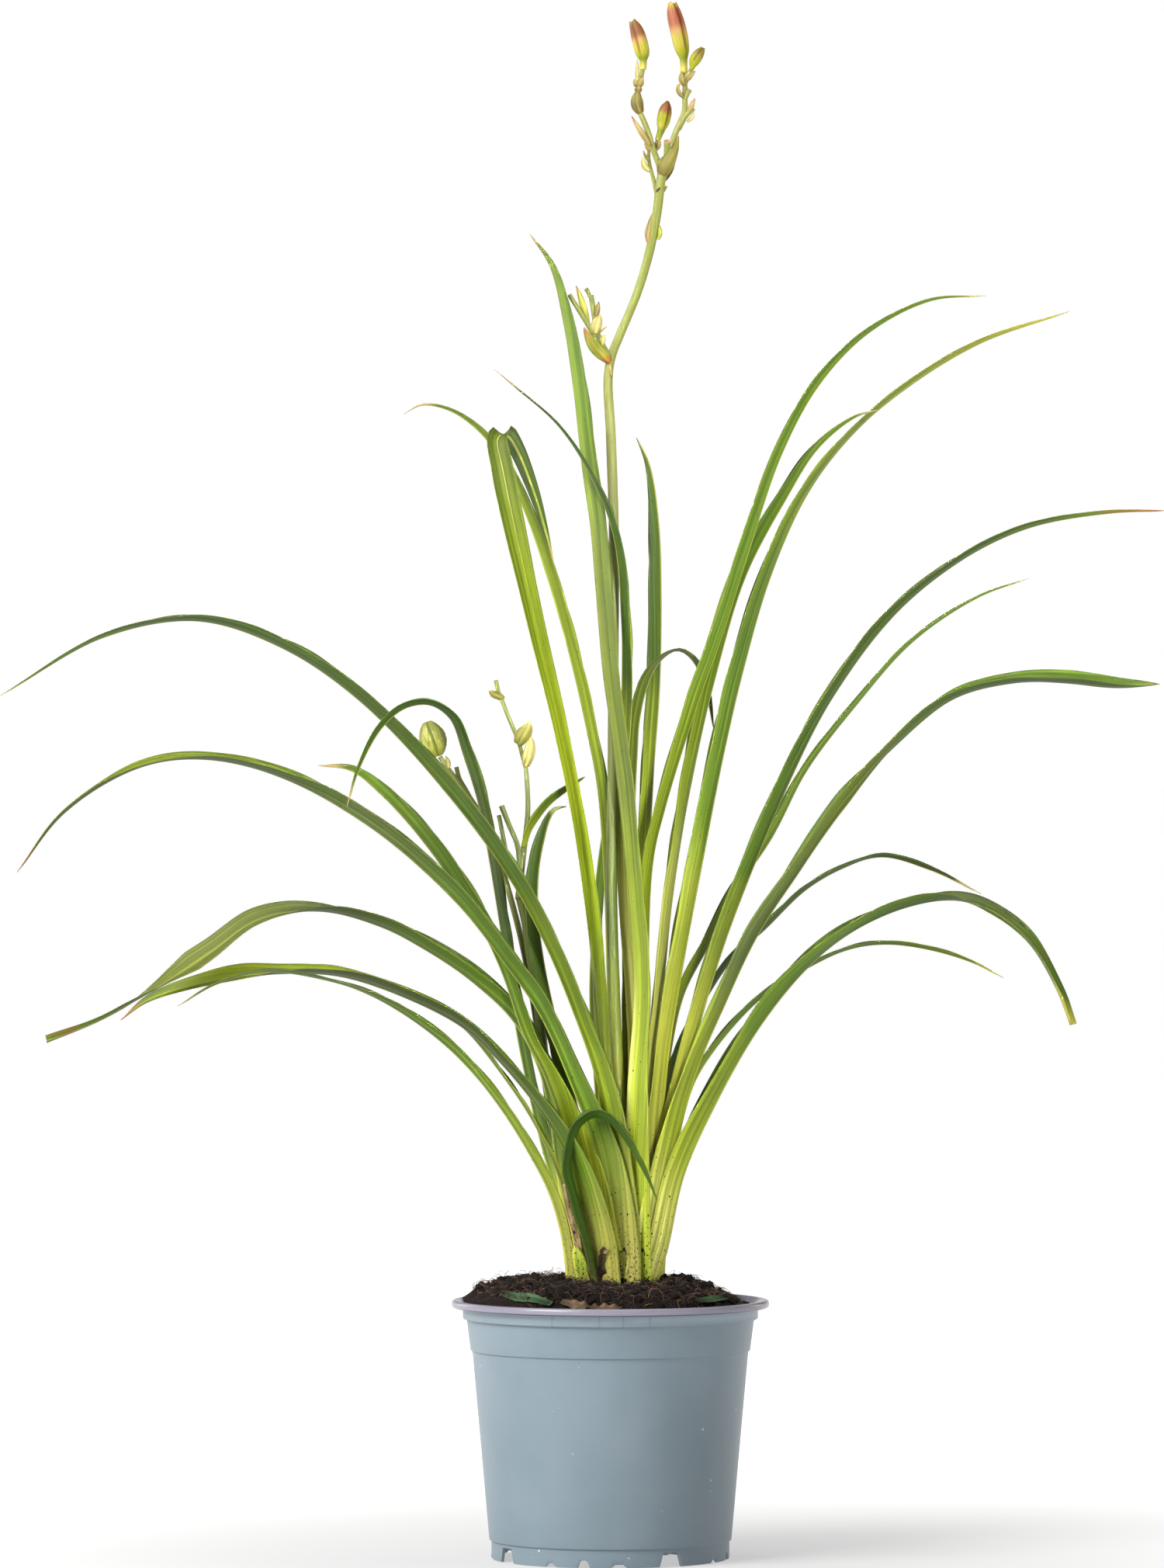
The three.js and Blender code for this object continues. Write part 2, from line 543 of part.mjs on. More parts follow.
const leftBranch = [
  stalk({
    line: [[26.8, 2, 735], [25.4, 3, 744], [22.6, 4, 754], [20.2, 4.5, 763], [17.3, 4.5, 772],
      [16.4, 4.5, 783], [16.6, 4.5, 797]],
    radius: [1.7, 1.5, 1.4, 1.3],
    steps: 7,
  }),
  bract({ line: [[17.2, 3.6, 771], [15, 3, 778], [12.5, 2.5, 785]], leansTo: LEFT, halfWidth: 4.6 }),
  bract({ line: [[16.6, 4, 783], [15.2, 3.4, 787], [13.6, 3, 791]], leansTo: LEFT, halfWidth: 3 }),
  bract({ line: [[21.2, 4.4, 757], [16, 2, 763], [11, 0, 771]], leansTo: LEFT, halfWidth: 3.4 }),
  stalk({ line: [[21.4, 4.4, 758], [24.4, 7, 759], [25.4, 7.5, 761]], radius: [1.4, 1.2], steps: 2 }),
];

const rightBranch = [
  stalk({
    line: [[27, 2.6, 737], [31.5, 7, 750], [37, 8, 764], [40, 8, 773], [40.2, 8, 787], [40.2, 8, 794.5]],
    radius: [1.7, 1.6, 1.5, 1.4],
    steps: 7,
  }),
  stalk({ line: [[35.6, 7.8, 760], [39.5, 6, 767], [44, 5, 774]], radius: [1.5, 1.4], steps: 2 }),
  bract({ line: [[38.5, 7.6, 768], [42.5, 6.5, 774], [45.5, 6, 780]], leansTo: RIGHT, halfWidth: 2.6 }),
  stalk({ line: [[40.2, 7.4, 786], [42, 5.6, 792], [44, 5, 797]], radius: [1.3, 1.4], steps: 2 }),
  bract({ line: [[39.6, 7.4, 778], [37.6, 6, 782], [36, 5.4, 787]], leansTo: LEFT, halfWidth: 2.8 }),
];

add("flower_stem_main", fuse([
  mainStem, ...sideCluster, ...budScar, ...fork, ...leftBranch, ...rightBranch,
]), STEM);

// Second stem: cut off above two nodes with their bracts, with two cut branches low down and a small leafy
// bract that bends out to the right.
add("flower_stem_second", fuse([
  stalk({
    line: [[-10, 21, SEAT], [-13, 23, 165], [-24, 26, 215], [-34.5, 27.4, 259], [-40, 27, 307],
      [-43, 25, 322], [-45.5, 24, 339], [-49, 22, 354]],
    radius: [2.7, 2.8, 2.9, 2.9],
    sides: 8,
    steps: 14,
  }),
  stalk({
    line: [[-49, 22, 352], [-48.4, 22, 362], [-47.2, 22, 373], [-45.2, 22, 389], [-44.3, 22, 401],
      [-44.7, 22, 413], [-45, 22, 425], [-46, 21, 440], [-51.3, 20, 442.5], [-58, 20, 459],
      [-61.3, 20, 470]],
    radius: [2.2, 1.6, 1.3, 1.2, 1.2],
    steps: 14,
  }),
  bract({ line: [[-44.8, 22, 424], [-44.4, 20, 433], [-43.6, 19, 446]], leansTo: RIGHT, halfWidth: 4 }),
  bract({ line: [[-45, 22, 440], [-47, 20, 443], [-49, 19, 448]], leansTo: LEFT, halfWidth: 3 }),
  bract({ line: [[-57.6, 20, 457], [-61, 19, 461], [-64.6, 18, 466]], leansTo: LEFT, halfWidth: 3.2 }),
  leafGeometry({
    leansTo: RIGHT,
    line: [[-46.8, 22, 380], [-44, 20, 390], [-38, 18, 399.5], [-32, 17, 406], [-23.5, 16, 412],
      [-13.5, 16, 418]],
    halfWidth: 4.6,
    fold: [40, 40, 46, 56],
    wave: 0,
    steps: 9,
  }),
  stalk({
    line: [[-48.2, 22, 365], [-50, 21, 381], [-54.5, 19, 392], [-58.4, 17, 402]],
    radius: [1.6, 1.4],
    steps: 4,
  }),
  stalk({
    line: [[-48.6, 22, 358], [-55, 25, 372], [-57.6, 26, 385], [-60, 27, 397]],
    radius: [1.3, 1.1],
    steps: 4,
  }),
]), STEM);

// Third stem: it leans to the left, and carries the seed capsule, a small bract and a short cut branch.
add("flower_stem_third", fuse([
  stalk({
    line: [[-20, 26, SEAT], [-30, 34.5, 220], [-48, 38, 330], [-67, 37, 392], [-74, 36, 404],
      [-82, 34, 415], [-88, 33, 423], [-91.9, 31.9, 428.6]],
    radius: [2.4, 2.2, 1.9, 1.6, 1.3],
    sides: 8,
    steps: 20,
  }),
  bract({ line: [[-87, 33, 421], [-87.6, 31, 426], [-87, 30, 431]], leansTo: RIGHT, halfWidth: 2.4 }),
  stalk({
    line: [[-73, 36, 402], [-78, 36, 411], [-81.4, 36, 417], [-83, 36, 423]],
    radius: [1.6, 1.5],
    steps: 3,
  }),
]), STEM);

// ---- buds and seed capsule ---------------------------------------------------------------------------

const BUD_SIDES = 9;
const BUD_STEPS = 9;
const BUD_RIDGE = 0.05;

// A bud is three closed outer petals: a slender neck, a swollen body with three low ridges, a blunt point.
function budGeometry({ line, neck, body, widest = 0.42 }) {
  const curve = smoothLine(line);
  const frames = curve.computeFrenetFrames(BUD_STEPS);
  const rings = [];
  for (let i = 0; i <= BUD_STEPS; i += 1) {
    const t = i / BUD_STEPS;
    const swell = THREE.MathUtils.smoothstep(t, 0.14, widest);
    const point = t < widest ? 1 : Math.cos(((t - widest) / (1 - widest)) * 1.35);
    const r = (neck + (body - neck) * swell) * point;
    const middle = curve.getPointAt(t);
    rings.push(Array.from({ length: BUD_SIDES }, (_, k) => {
      const angle = (2 * Math.PI * k) / BUD_SIDES;
      const ridged = r * (1 + BUD_RIDGE * Math.cos(3 * angle));
      return middle.clone()
        .addScaledVector(frames.normals[i], ridged * Math.cos(angle))
        .addScaledVector(frames.binormals[i], ridged * Math.sin(angle));
    }));
  }
  return skin(rings, roundCap(BUD_SIDES));
}

add("bud_left", budGeometry({
  line: [[16.6, 4.5, 797.4], [16.8, 4.5, 802], [15.4, 4.5, 812], [12.2, 4.5, 823.5]],
  neck: 2,
  body: 4.7,
}), BUD);
add("bud_middle", budGeometry({
  line: [[25.6, 7.6, 761.6], [26.5, 7.8, 765], [28.8, 8, 772], [30.6, 8, 780]],
  neck: 1.6,
  body: 3.8,
  widest: 0.55,
}), BUD);
add("bud_right_large", budGeometry({
  line: [[40.2, 8, 795], [39.6, 8, 801], [37.8, 8, 812], [32.2, 8, 833.6]],
  neck: 2.3,
  body: 4.9,
  widest: 0.4,
}), BUD);
add("bud_right_small", budGeometry({
  line: [[44.2, 5, 797.4], [45, 4.8, 800], [47, 4.6, 804], [50, 4.6, 808.6]],
  neck: 1.6,
  body: 3.3,
  widest: 0.5,
}), BUD);

const CAPSULE_SIDES = 18;
const CAPSULE_STEPS = 7;
const CAPSULE_LOBE = 0.1;

// The seed capsule has three lobes with a groove between each two, and is flattened at both ends.
function capsuleGeometry({ foot, top, radius }) {
  const from = new THREE.Vector3(...foot);
  const axis = new THREE.Vector3(...top).sub(from);
  const side = new THREE.Vector3(0, 1, 0).cross(axis).normalize();
  const front = axis.clone().cross(side).normalize();
  const rings = [];
  for (let i = 0; i <= CAPSULE_STEPS; i += 1) {
    const t = i / CAPSULE_STEPS;
    const round = Math.sin(Math.PI * (0.08 + 0.84 * t)) ** 0.62;
    rings.push(Array.from({ length: CAPSULE_SIDES }, (_, k) => {
      const angle = (2 * Math.PI * k) / CAPSULE_SIDES;
      const r = radius * round * (1 + CAPSULE_LOBE * Math.cos(3 * angle));
      return from.clone().addScaledVector(axis, t)
        .addScaledVector(side, r * Math.sin(angle))
        .addScaledVector(front, r * Math.cos(angle));
    }));
  }
  return skin(rings, roundCap(CAPSULE_SIDES));
}

add("seed_capsule", capsuleGeometry({
  foot: [-92.4, 31.8, 429.2],
  top: [-98.8, 30, 447.4],
  radius: 7.2,
}), CAPSULE);

// ---- pot -----------------------------------------------------------------------------------------

const POT_SIDES = 40;

function onLathe(points) {
  const profile = points.map(([r, z]) => new THREE.Vector2(r, z));
  return new THREE.LatheGeometry(profile, POT_SIDES).rotateX(Math.PI / 2);
}

const FLOOR_TOP = FLOOR_UNDERSIDE + FLOOR_THICKNESS;
const RIM_INNER = RIM_RADIUS - RIM_WIDTH;
const POT_PROFILE = [
  [0, 0], [HUB_RADIUS, 0], [HUB_RADIUS, FLOOR_UNDERSIDE], [FOOT_RADIUS - WALL, FLOOR_UNDERSIDE],
  [FOOT_RADIUS - WALL, 0], [FOOT_RADIUS, 0], [FOOT_RADIUS, FOOT_Z], [WALL_BOTTOM_RADIUS, FOOT_Z],
  [WALL_TOP_RADIUS, SHOULDER_Z], [SHOULDER_RADIUS, SHOULDER_Z], [BAND_TOP_RADIUS, COLLAR_BOTTOM],
  [COLLAR_RADIUS, COLLAR_BOTTOM], [COLLAR_RADIUS, RIM_TOP - RIM_HEIGHT],
  [RIM_RADIUS, RIM_TOP - RIM_HEIGHT + 0.5], [RIM_RADIUS, RIM_TOP - 1.2], [RIM_RADIUS - 1.2, RIM_TOP],
  [RIM_INNER, RIM_TOP],
  [COLLAR_RADIUS - WALL, RIM_TOP - 3.2], [BAND_TOP_RADIUS - WALL, COLLAR_BOTTOM - 1],
  [WALL_TOP_RADIUS - WALL, SHOULDER_Z - 2], [WALL_BOTTOM_RADIUS - WALL, FLOOR_TOP], [0, FLOOR_TOP],
];

// Notches in the foot: in each quarter one wide one, then three small ones, as angles from the front.
const NOTCHES = [0, 90, 180, 270].flatMap((quarter) => [
  { angle: quarter + 30, width: 13, height: 7.6 },
  { angle: quarter + 60, width: 5, height: 2 },
  { angle: quarter + 77, width: 6, height: 4 },
  { angle: quarter + 94, width: 7, height: 1.8 },
]);

function notchCutter({ angle, width, height }) {
  const outline = new THREE.Shape();
  outline.moveTo(-width / 2, -1);
  outline.lineTo(width / 2, -1);
  outline.lineTo(width / 2 - 0.25 * height, height);
  outline.lineTo(-width / 2 + 0.25 * height, height);
  return new THREE.ExtrudeGeometry(outline, { depth: 8, bevelEnabled: false })
    .rotateX(Math.PI / 2)
    .translate(0, -FOOT_RADIUS + 5, 0)
    .rotateZ(rad(angle));
}

function drainCutter(angle) {
  return new THREE.CylinderGeometry(DRAIN_RADIUS, DRAIN_RADIUS, 12, 10)
    .rotateX(Math.PI / 2)
    .translate(DRAIN_CIRCLE, 0, FLOOR_TOP)
    .rotateZ(rad(angle));
}

let pot = toSolid(onLathe(POT_PROFILE));
for (const notch of NOTCHES) {
  pot = pot.subtract(toSolid(notchCutter(notch)));
}
for (let hole = 0; hole < 6; hole += 1) {
  pot = pot.subtract(toSolid(drainCutter(60 * hole + 15)));
}
add("pot", toGeometry(pot), POT_PLASTIC);

// ---- crown and peat ------------------------------------------------------------------------------

// Upright block with rounded corners, from the root crown's outline grown by a margin.
function crownBlock(margin, bottom, top) {
  const [x0, y0] = CROWN_MIN.map((value) => value - margin);
  const [x1, y1] = CROWN_MAX.map((value) => value + margin);
  const r = CROWN_CORNER + margin;
  const outline = new THREE.Shape();
  outline.moveTo(x0 + r, y0);
  outline.lineTo(x1 - r, y0);
  outline.absarc(x1 - r, y0 + r, r, rad(-90), 0);
  outline.lineTo(x1, y1 - r);
  outline.absarc(x1 - r, y1 - r, r, 0, rad(90));
  outline.lineTo(x0 + r, y1);
  outline.absarc(x0 + r, y1 - r, r, rad(90), rad(180));
  outline.lineTo(x0, y0 + r);
  outline.absarc(x0 + r, y0 + r, r, rad(180), rad(270));
  return new THREE.ExtrudeGeometry(outline, { depth: top - bottom, bevelEnabled: false, curveSegments: 5 })
    .translate(0, 0, bottom);
}

const CROWN_BOTTOM = CROWN_TOP - CROWN_HEIGHT;
add("root_crown", closed(crownBlock(0, CROWN_BOTTOM, CROWN_TOP)), ROOT);

// The heap is high round the stems and nearly flat to the rim on the left. On the right it falls sooner.
function soilHeight(x, y) {
  const r = Math.max(Math.hypot(x, y), 1);
  const left = THREE.MathUtils.smoothstep(-x / r, 0, 0.9);
  const edge = THREE.MathUtils.lerp(SOIL_EDGE_RIGHT, SOIL_EDGE_LEFT, left);
  const heap = Math.max(0, 1 - (r / SOIL_RADIUS) ** THREE.MathUtils.lerp(3.6, 6, left));
  const lumps = Math.sin(0.21 * x + 0.9) * Math.sin(0.26 * y + 0.4) + 0.6 * Math.sin(0.47 * x - 0.31 * y);
  return edge + (SOIL_TOP - edge) * heap + 0.9 * lumps * Math.min(1, 3 * heap);
}

const SOIL_RINGS = [SOIL_RADIUS, 72, 66, 58, 48, 36, 24, 12];

// Points of the peat's outline from the floor up, clear of the pot's inner wall, then in across the heap.
const SOIL_PROFILE = [
  [0, FLOOR_TOP + GAP], [WALL_BOTTOM_RADIUS - WALL - GAP, FLOOR_TOP + GAP],
  [WALL_TOP_RADIUS - WALL - GAP, SHOULDER_Z - 2 + GAP], [75, COLLAR_BOTTOM - 1 - GAP],
  ...SOIL_RINGS.map((r) => [r, SOIL_TOP]), [0, SOIL_TOP],
];

function soilGeometry() {
  const geometry = closed(onLathe(SOIL_PROFILE));
  const { position } = geometry.attributes;
  for (let i = 0; i < position.count; i += 1) {
    if (position.getZ(i) > SOIL_TOP - 1) {
      position.setZ(i, soilHeight(position.getX(i), position.getY(i)));
    }
  }
  return geometry;
}

const pit = toSolid(crownBlock(GAP, CROWN_BOTTOM - GAP, SOIL_TOP + 20));
add("soil", toGeometry(toSolid(soilGeometry()).subtract(pit)), PEAT);

// Loose strips of cut leaf that lie on the peat just inside the rim.
function scrap({ radius, from, to, lift, halfWidth }) {
  const line = [0, 0.33, 0.67, 1].map((t) => {
    const angle = rad(from + (to - from) * t);
    const [x, y] = [radius * Math.sin(angle), -radius * Math.cos(angle)];
    return [x, y, Math.max(soilHeight(x, y), soilHeight(0.94 * x, 0.94 * y)) + lift];
  });
  const widthAt = (t) => 1 - 0.6 * t * t;
  return leafGeometry({ line, leansTo: BACK, halfWidth, fold: [80], wave: 0.2, waves: 2, widthAt, steps: 6 });
}

add("cut_leaf_front", scrap({ radius: 70, from: -34, to: -12, lift: -0.2, halfWidth: 2.6 }), DARK_LEAF);
add("cut_leaf_right", scrap({ radius: 66, from: 44, to: 68, lift: 0.4, halfWidth: 3.4 }), DARK_LEAF);
add("cut_leaf_dry", scrap({ radius: 68, from: -6, to: 8, lift: 1.65, halfWidth: 2.6 }), DRY);

export default plant;
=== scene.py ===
import functools
import math
import random

import bpy
import numpy as np
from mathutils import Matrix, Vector, noise


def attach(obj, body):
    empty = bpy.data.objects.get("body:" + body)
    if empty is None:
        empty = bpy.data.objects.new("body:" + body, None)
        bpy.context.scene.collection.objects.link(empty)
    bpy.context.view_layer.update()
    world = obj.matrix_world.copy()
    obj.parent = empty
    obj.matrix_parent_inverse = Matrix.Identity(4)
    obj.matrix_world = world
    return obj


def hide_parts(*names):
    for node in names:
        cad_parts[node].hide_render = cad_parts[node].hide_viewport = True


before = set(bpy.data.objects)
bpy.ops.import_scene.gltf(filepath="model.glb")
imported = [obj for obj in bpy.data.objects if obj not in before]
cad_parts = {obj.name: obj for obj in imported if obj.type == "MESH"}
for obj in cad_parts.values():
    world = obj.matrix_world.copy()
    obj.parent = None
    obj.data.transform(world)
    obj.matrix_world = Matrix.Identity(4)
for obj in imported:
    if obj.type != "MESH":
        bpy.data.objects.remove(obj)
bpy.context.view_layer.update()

MM = 0.001

# ---- Studio ------------------------------------------------------------------------------------------
# A light table of opal acrylic in a room with a bright white horizon and a dim ceiling. The main soft box
# stands in front on the left, one with a grid lights the leaves from the front, two weak ones stand behind
# on either side, and a long one hangs overhead.

OPAL_WHITE = "#8F8F8E"
TABLE_GLOW = 0.94
PAINTED_SHADOW_GLOW = 0.5
PAINTED_SHADOW_EDGES = (0.06, 0.7)
HORIZON_GLOW = 1.02
CEILING_GLOW = 0.15
CEILING_EDGES = (0.09, 0.2)
WHITE = "#FFFFFF"
CAMERA_AT = (-0.0152, -4.5, 0.414)
LENS_MM = 193
FLOOR_HALF = 1500


def linear(colour):
    """The linear red, green, blue and alpha of an sRGB colour such as "#8FB32E"."""
    shares = [int(colour[i:i + 2], 16) / 255 for i in (1, 3, 5)]
    return [s / 12.92 if s <= 0.04045 else ((s + 0.055) / 1.055) ** 2.4 for s in shares] + [1]


def add_node(tree, kind, inputs=(), stops=(), **settings):
    """Adds a node with its settings. Its inputs come by name or in the order in which the node shows them.
    Each takes a value, a colour, an output, or a node, whose first output in use is linked."""
    node = tree.nodes.new("ShaderNode" + kind)
    for name, value in settings.items():
        setattr(node, name, value)
    by_name = isinstance(inputs, dict)
    sockets = node.inputs if by_name else [socket for socket in node.inputs if socket.enabled]
    for key, value in inputs.items() if by_name else enumerate(inputs):
        if isinstance(value, bpy.types.Node):
            value = next(output for output in value.outputs if output.enabled)
        if isinstance(value, bpy.types.NodeSocket):
            tree.links.new(value, sockets[key])
        else:
            sockets[key].default_value = linear(value) if isinstance(value, str) else value
    for i, (place, colour) in enumerate(stops):
        spots = node.color_ramp.elements
        spot = spots[i] if i < 2 else spots.new(place)
        spot.position = place
        spot.color = linear(colour)
    return node


def new_material(name):
    """A material, and add_node for its empty tree."""
    material = bpy.data.materials.new(name)
    material.use_nodes = True
    material.node_tree.nodes.clear()
    return material, functools.partial(add_node, material.node_tree)


def add_object(name, data):
    """A new object in the scene that shows this mesh, light or camera."""
    made = bpy.data.objects.new(name, data)
    bpy.context.scene.collection.objects.link(made)
    return made


camera = add_object("camera", bpy.data.cameras.new("camera"))
camera.location = CAMERA_AT
camera.rotation_euler = (math.radians(90), 0, 0)
camera.data.lens = LENS_MM
camera.data.clip_end = 3 * FLOOR_HALF
bpy.context.scene.camera = camera
bpy.context.scene.view_settings.view_transform = "Standard"

floor_mesh = bpy.data.meshes.new("floor")
corners = [(x * FLOOR_HALF, y * FLOOR_HALF, -0.3 * MM) for x, y in ((-1, -1), (1, -1), (1, 1), (-1, 1))]
floor_mesh.from_pydata(corners, [], [(0, 1, 2, 3)])
# The table's glow is turned down round the pot: a painted soft shadow pool where the pot's shade would lie.
opal, add = new_material("opal_acrylic")
place = add("TexCoord").outputs["Object"]
away = add("VectorMath", (place,), operation="LENGTH")
glow = add("MapRange", (away, *PAINTED_SHADOW_EDGES, PAINTED_SHADOW_GLOW, TABLE_GLOW), interpolation_type="SMOOTHSTEP")
shader = add("BsdfPrincipled",
             {"Base Color": OPAL_WHITE, "Roughness": 0.9, "Specular IOR Level": 0.1,
              "Emission Color": WHITE, "Emission Strength": glow})
add("OutputMaterial", (shader,))
floor_mesh.materials.append(opal)
floor = add_object("floor", floor_mesh)

world = bpy.data.worlds.new("white_room")
world.use_nodes = True
world.node_tree.nodes.clear()
add = functools.partial(add_node, world.node_tree)
upward = add("TexCoord").outputs["Generated"]
upward = add("SeparateXYZ", (upward,)).outputs["Z"]
glow = add("MapRange", (upward, *CEILING_EDGES, HORIZON_GLOW, CEILING_GLOW))
room = add("Background", {"Color": WHITE, "Strength": glow})
add("OutputWorld", (room,))
bpy.context.scene.world = world

SOFT_BOXES = {
    "key_box": {"at": (-2.1, -1.8, 2.0), "size": (1.9, 1.9), "watts": 170},
    "leaf_box": {"at": (0.9, -3.6, 1.3), "size": (0.6, 0.4), "watts": 1.8, "grid": 10,
                 "aim": (0.06, 0, 0.52)},
    "left_rim_box": {"at": (-2.0, 2.1, 1.1), "size": (0.8, 1.6), "watts": 12, "colour": "#FFF2F4"},
    "right_rim_box": {"at": (2.1, 2.1, 1.1), "size": (0.8, 1.6), "watts": 9, "colour": "#FFE6D4"},
    "top_box": {"at": (0.1, 0.3, 2.8), "size": (2.0, 1.2), "watts": 22},
}
AIM = (0, 0, 0.4)
NO_GRID = 180
for name, box in SOFT_BOXES.items():
    light = bpy.data.lights.new(name, "AREA")
    light.shape = "RECTANGLE"
    light.size, light.size_y = box["size"]
    light.energy = box["watts"]
    light.color = linear(box.get("colour", WHITE))[:3]
    light.spread = math.radians(box.get("grid", NO_GRID))
    lamp = add_object(name, light)
    lamp.location = box["at"]
    facing = Vector(box.get("aim", AIM)) - lamp.location
    lamp.rotation_euler = facing.to_track_quat("-Z", "Y").to_euler()

# ---- Pot ---------------------------------------------------------------------------------------------
# A nursery pot of polypropylene, injection moulded in one piece: a rolled rim, a collar, a stepped band, a
# tapered wall and a foot with drain notches. The plastic is pale blue-grey and satin, with specks of dust.

RIM_RADIUS = 85
RIM_TOP = 138
RIM_HEIGHT = 4.4
RIM_WIDTH = 4.5
COLLAR_RADIUS = 79
COLLAR_BOTTOM = 128
BAND_TOP_RADIUS = 77
SHOULDER_Z = 111
SHOULDER_RADIUS = 74.8
WALL_TOP_RADIUS = 73.9
WALL_BOTTOM_RADIUS = 64.8
FOOT_Z = 9.7
FOOT_RADIUS = 63.7
WALL = 1.6
FLOOR_UNDERSIDE = 6
FLOOR_TOP = 8.5
HUB_RADIUS = 9
DRAIN_RADIUS = 4
DRAIN_CIRCLE = 46
DRAIN_HOLES = 6
DRAIN_SIDES = 32
POT_SEGMENTS = 360
ROW_SPACING = 4
ARC_POINTS = 5


def rounded(outline):
    """An outline of (radius, height, corner radius) with each corner turned into a small arc."""
    points = [outline[0][:2]]
    for before, here, after in zip(outline, outline[1:], outline[2:]):
        corner, bend = np.array(here[:2], float), here[2]
        to_before, to_after = (np.array(p[:2]) - corner for p in (before, after))
        reach = min(bend, 0.45 * np.linalg.norm(to_before), 0.45 * np.linalg.norm(to_after))
        start = corner + to_before / np.linalg.norm(to_before) * reach
        end = corner + to_after / np.linalg.norm(to_after) * reach
        for s in np.linspace(0, 1, ARC_POINTS):
            points.append(tuple((1 - s) ** 2 * start + 2 * s * (1 - s) * corner + s ** 2 * end))
    points.append(outline[-1][:2])
    return points


def spaced(points, spacing):
    """The same outline with extra points on its long straights."""
    filled = [points[0]]
    for a, b in zip(points, points[1:]):
        pieces = max(1, round(math.dist(a, b) / spacing))
        a, b = np.array(a), np.array(b)
        filled += [tuple(a + (b - a) * k / pieces) for k in range(1, pieces + 1)]
    return filled


def mesh_from(name, points, faces, smooth=True):
    """A mesh from points in millimetres."""
    mesh = bpy.data.meshes.new(name)
    mesh.from_pydata([tuple(p) for p in np.asarray(points) * MM], [], faces)
    mesh.validate()
    mesh.polygons.foreach_set("use_smooth", [smooth] * len(mesh.polygons))
    return mesh


def lathe(outline, segments):
    """Points and faces of an outline turned round the Z axis. It starts and ends on the axis."""
    angles = np.linspace(0, 2 * math.pi, segments, endpoint=False)
    rows = [(r * np.cos(angles), r * np.sin(angles), np.full(segments, z)) for r, z in outline[1:-1]]
    points = [np.stack(row, 1) for row in rows]
    last = len(rows) * segments
    points = np.vstack(points + [np.array([[0, 0, outline[0][1]], [0, 0, outline[-1][1]]])])
    faces = []
    for i in range(segments):
        j = (i + 1) % segments
        faces.append((last, j, i))
        faces.append((last + 1, last - segments + i, last - segments + j))
        for row in range(0, last - segments, segments):
            faces.append((row + i, row + j, row + segments + j, row + segments + i))
    return points, faces


def tube_faces(rings, sides, first=0):
    """Faces of rings of points that follow each other, closed at both ends."""
    faces = []
    for ring in range(rings - 1):
        for k in range(sides):
            a, b = first + ring * sides + k, first + ring * sides + (k + 1) % sides
            faces.append((a, b, b + sides, a + sides))
    faces.append(tuple(first + k for k in reversed(range(sides))))
    faces.append(tuple(first + (rings - 1) * sides + k for k in range(sides)))
    return faces


POT_OUTLINE = [
    (0, 0, 0), (HUB_RADIUS, 0, 0.3), (HUB_RADIUS, FLOOR_UNDERSIDE, 0.5),
    (FOOT_RADIUS - WALL, FLOOR_UNDERSIDE, 0.5), (FOOT_RADIUS - WALL, 0, 0.3), (FOOT_RADIUS, 0, 0.3),
    (FOOT_RADIUS, FOOT_Z, 0.2), (WALL_BOTTOM_RADIUS, FOOT_Z, 0.5), (WALL_TOP_RADIUS, SHOULDER_Z, 0.2),
    (SHOULDER_RADIUS, SHOULDER_Z, 0.5), (BAND_TOP_RADIUS, COLLAR_BOTTOM, 0.2),
    (COLLAR_RADIUS, COLLAR_BOTTOM, 0.7), (COLLAR_RADIUS, RIM_TOP - RIM_HEIGHT, 0.3),
    (RIM_RADIUS, RIM_TOP - RIM_HEIGHT + 0.5, 1.3), (RIM_RADIUS, RIM_TOP, 1.9),
    (RIM_RADIUS - RIM_WIDTH, RIM_TOP, 1.2), (COLLAR_RADIUS - WALL, RIM_TOP - 3.2, 1),
    (BAND_TOP_RADIUS - WALL, COLLAR_BOTTOM - 1, 1), (WALL_TOP_RADIUS - WALL, SHOULDER_Z - 2, 1),
    (WALL_BOTTOM_RADIUS - WALL, FLOOR_TOP, 1.5), (0, FLOOR_TOP, 0),
]

# In each quarter of the foot one wide notch, then three small ones: angle from the front, width, height.
NOTCHES = [(quarter + angle, width, height) for quarter in (0, 90, 180, 270)
           for angle, width, height in ((30, 13, 7.6), (60, 5, 2), (77, 6, 4), (94, 7, 1.8))]


def notch_lift(x, y):
    """How far a notch lifts the foot's lower edge at a point of it."""
    bearing = math.degrees(math.atan2(x, -y))
    lift = 0
    for angle, width, height in NOTCHES:
        off = (bearing - angle + 180) % 360 - 180
        from_middle = abs(math.radians(off)) * FOOT_RADIUS
        share = (width / 2 - from_middle) / (0.25 * height)
        lift = max(lift, height * min(max(share, 0), 1))
    return lift


pot_points, pot_faces = lathe(spaced(rounded(POT_OUTLINE), ROW_SPACING), POT_SEGMENTS)
for point in pot_points:
    radius = math.hypot(point[0], point[1])
    if radius > FOOT_RADIUS - WALL - 0.5 and point[2] < FOOT_Z - 0.3:
        lift = notch_lift(point[0], point[1])
        point[2] = max(point[2], lift + 0.15 * point[2])
uncut = add_object("uncut_pot", mesh_from("pot", pot_points, pot_faces))

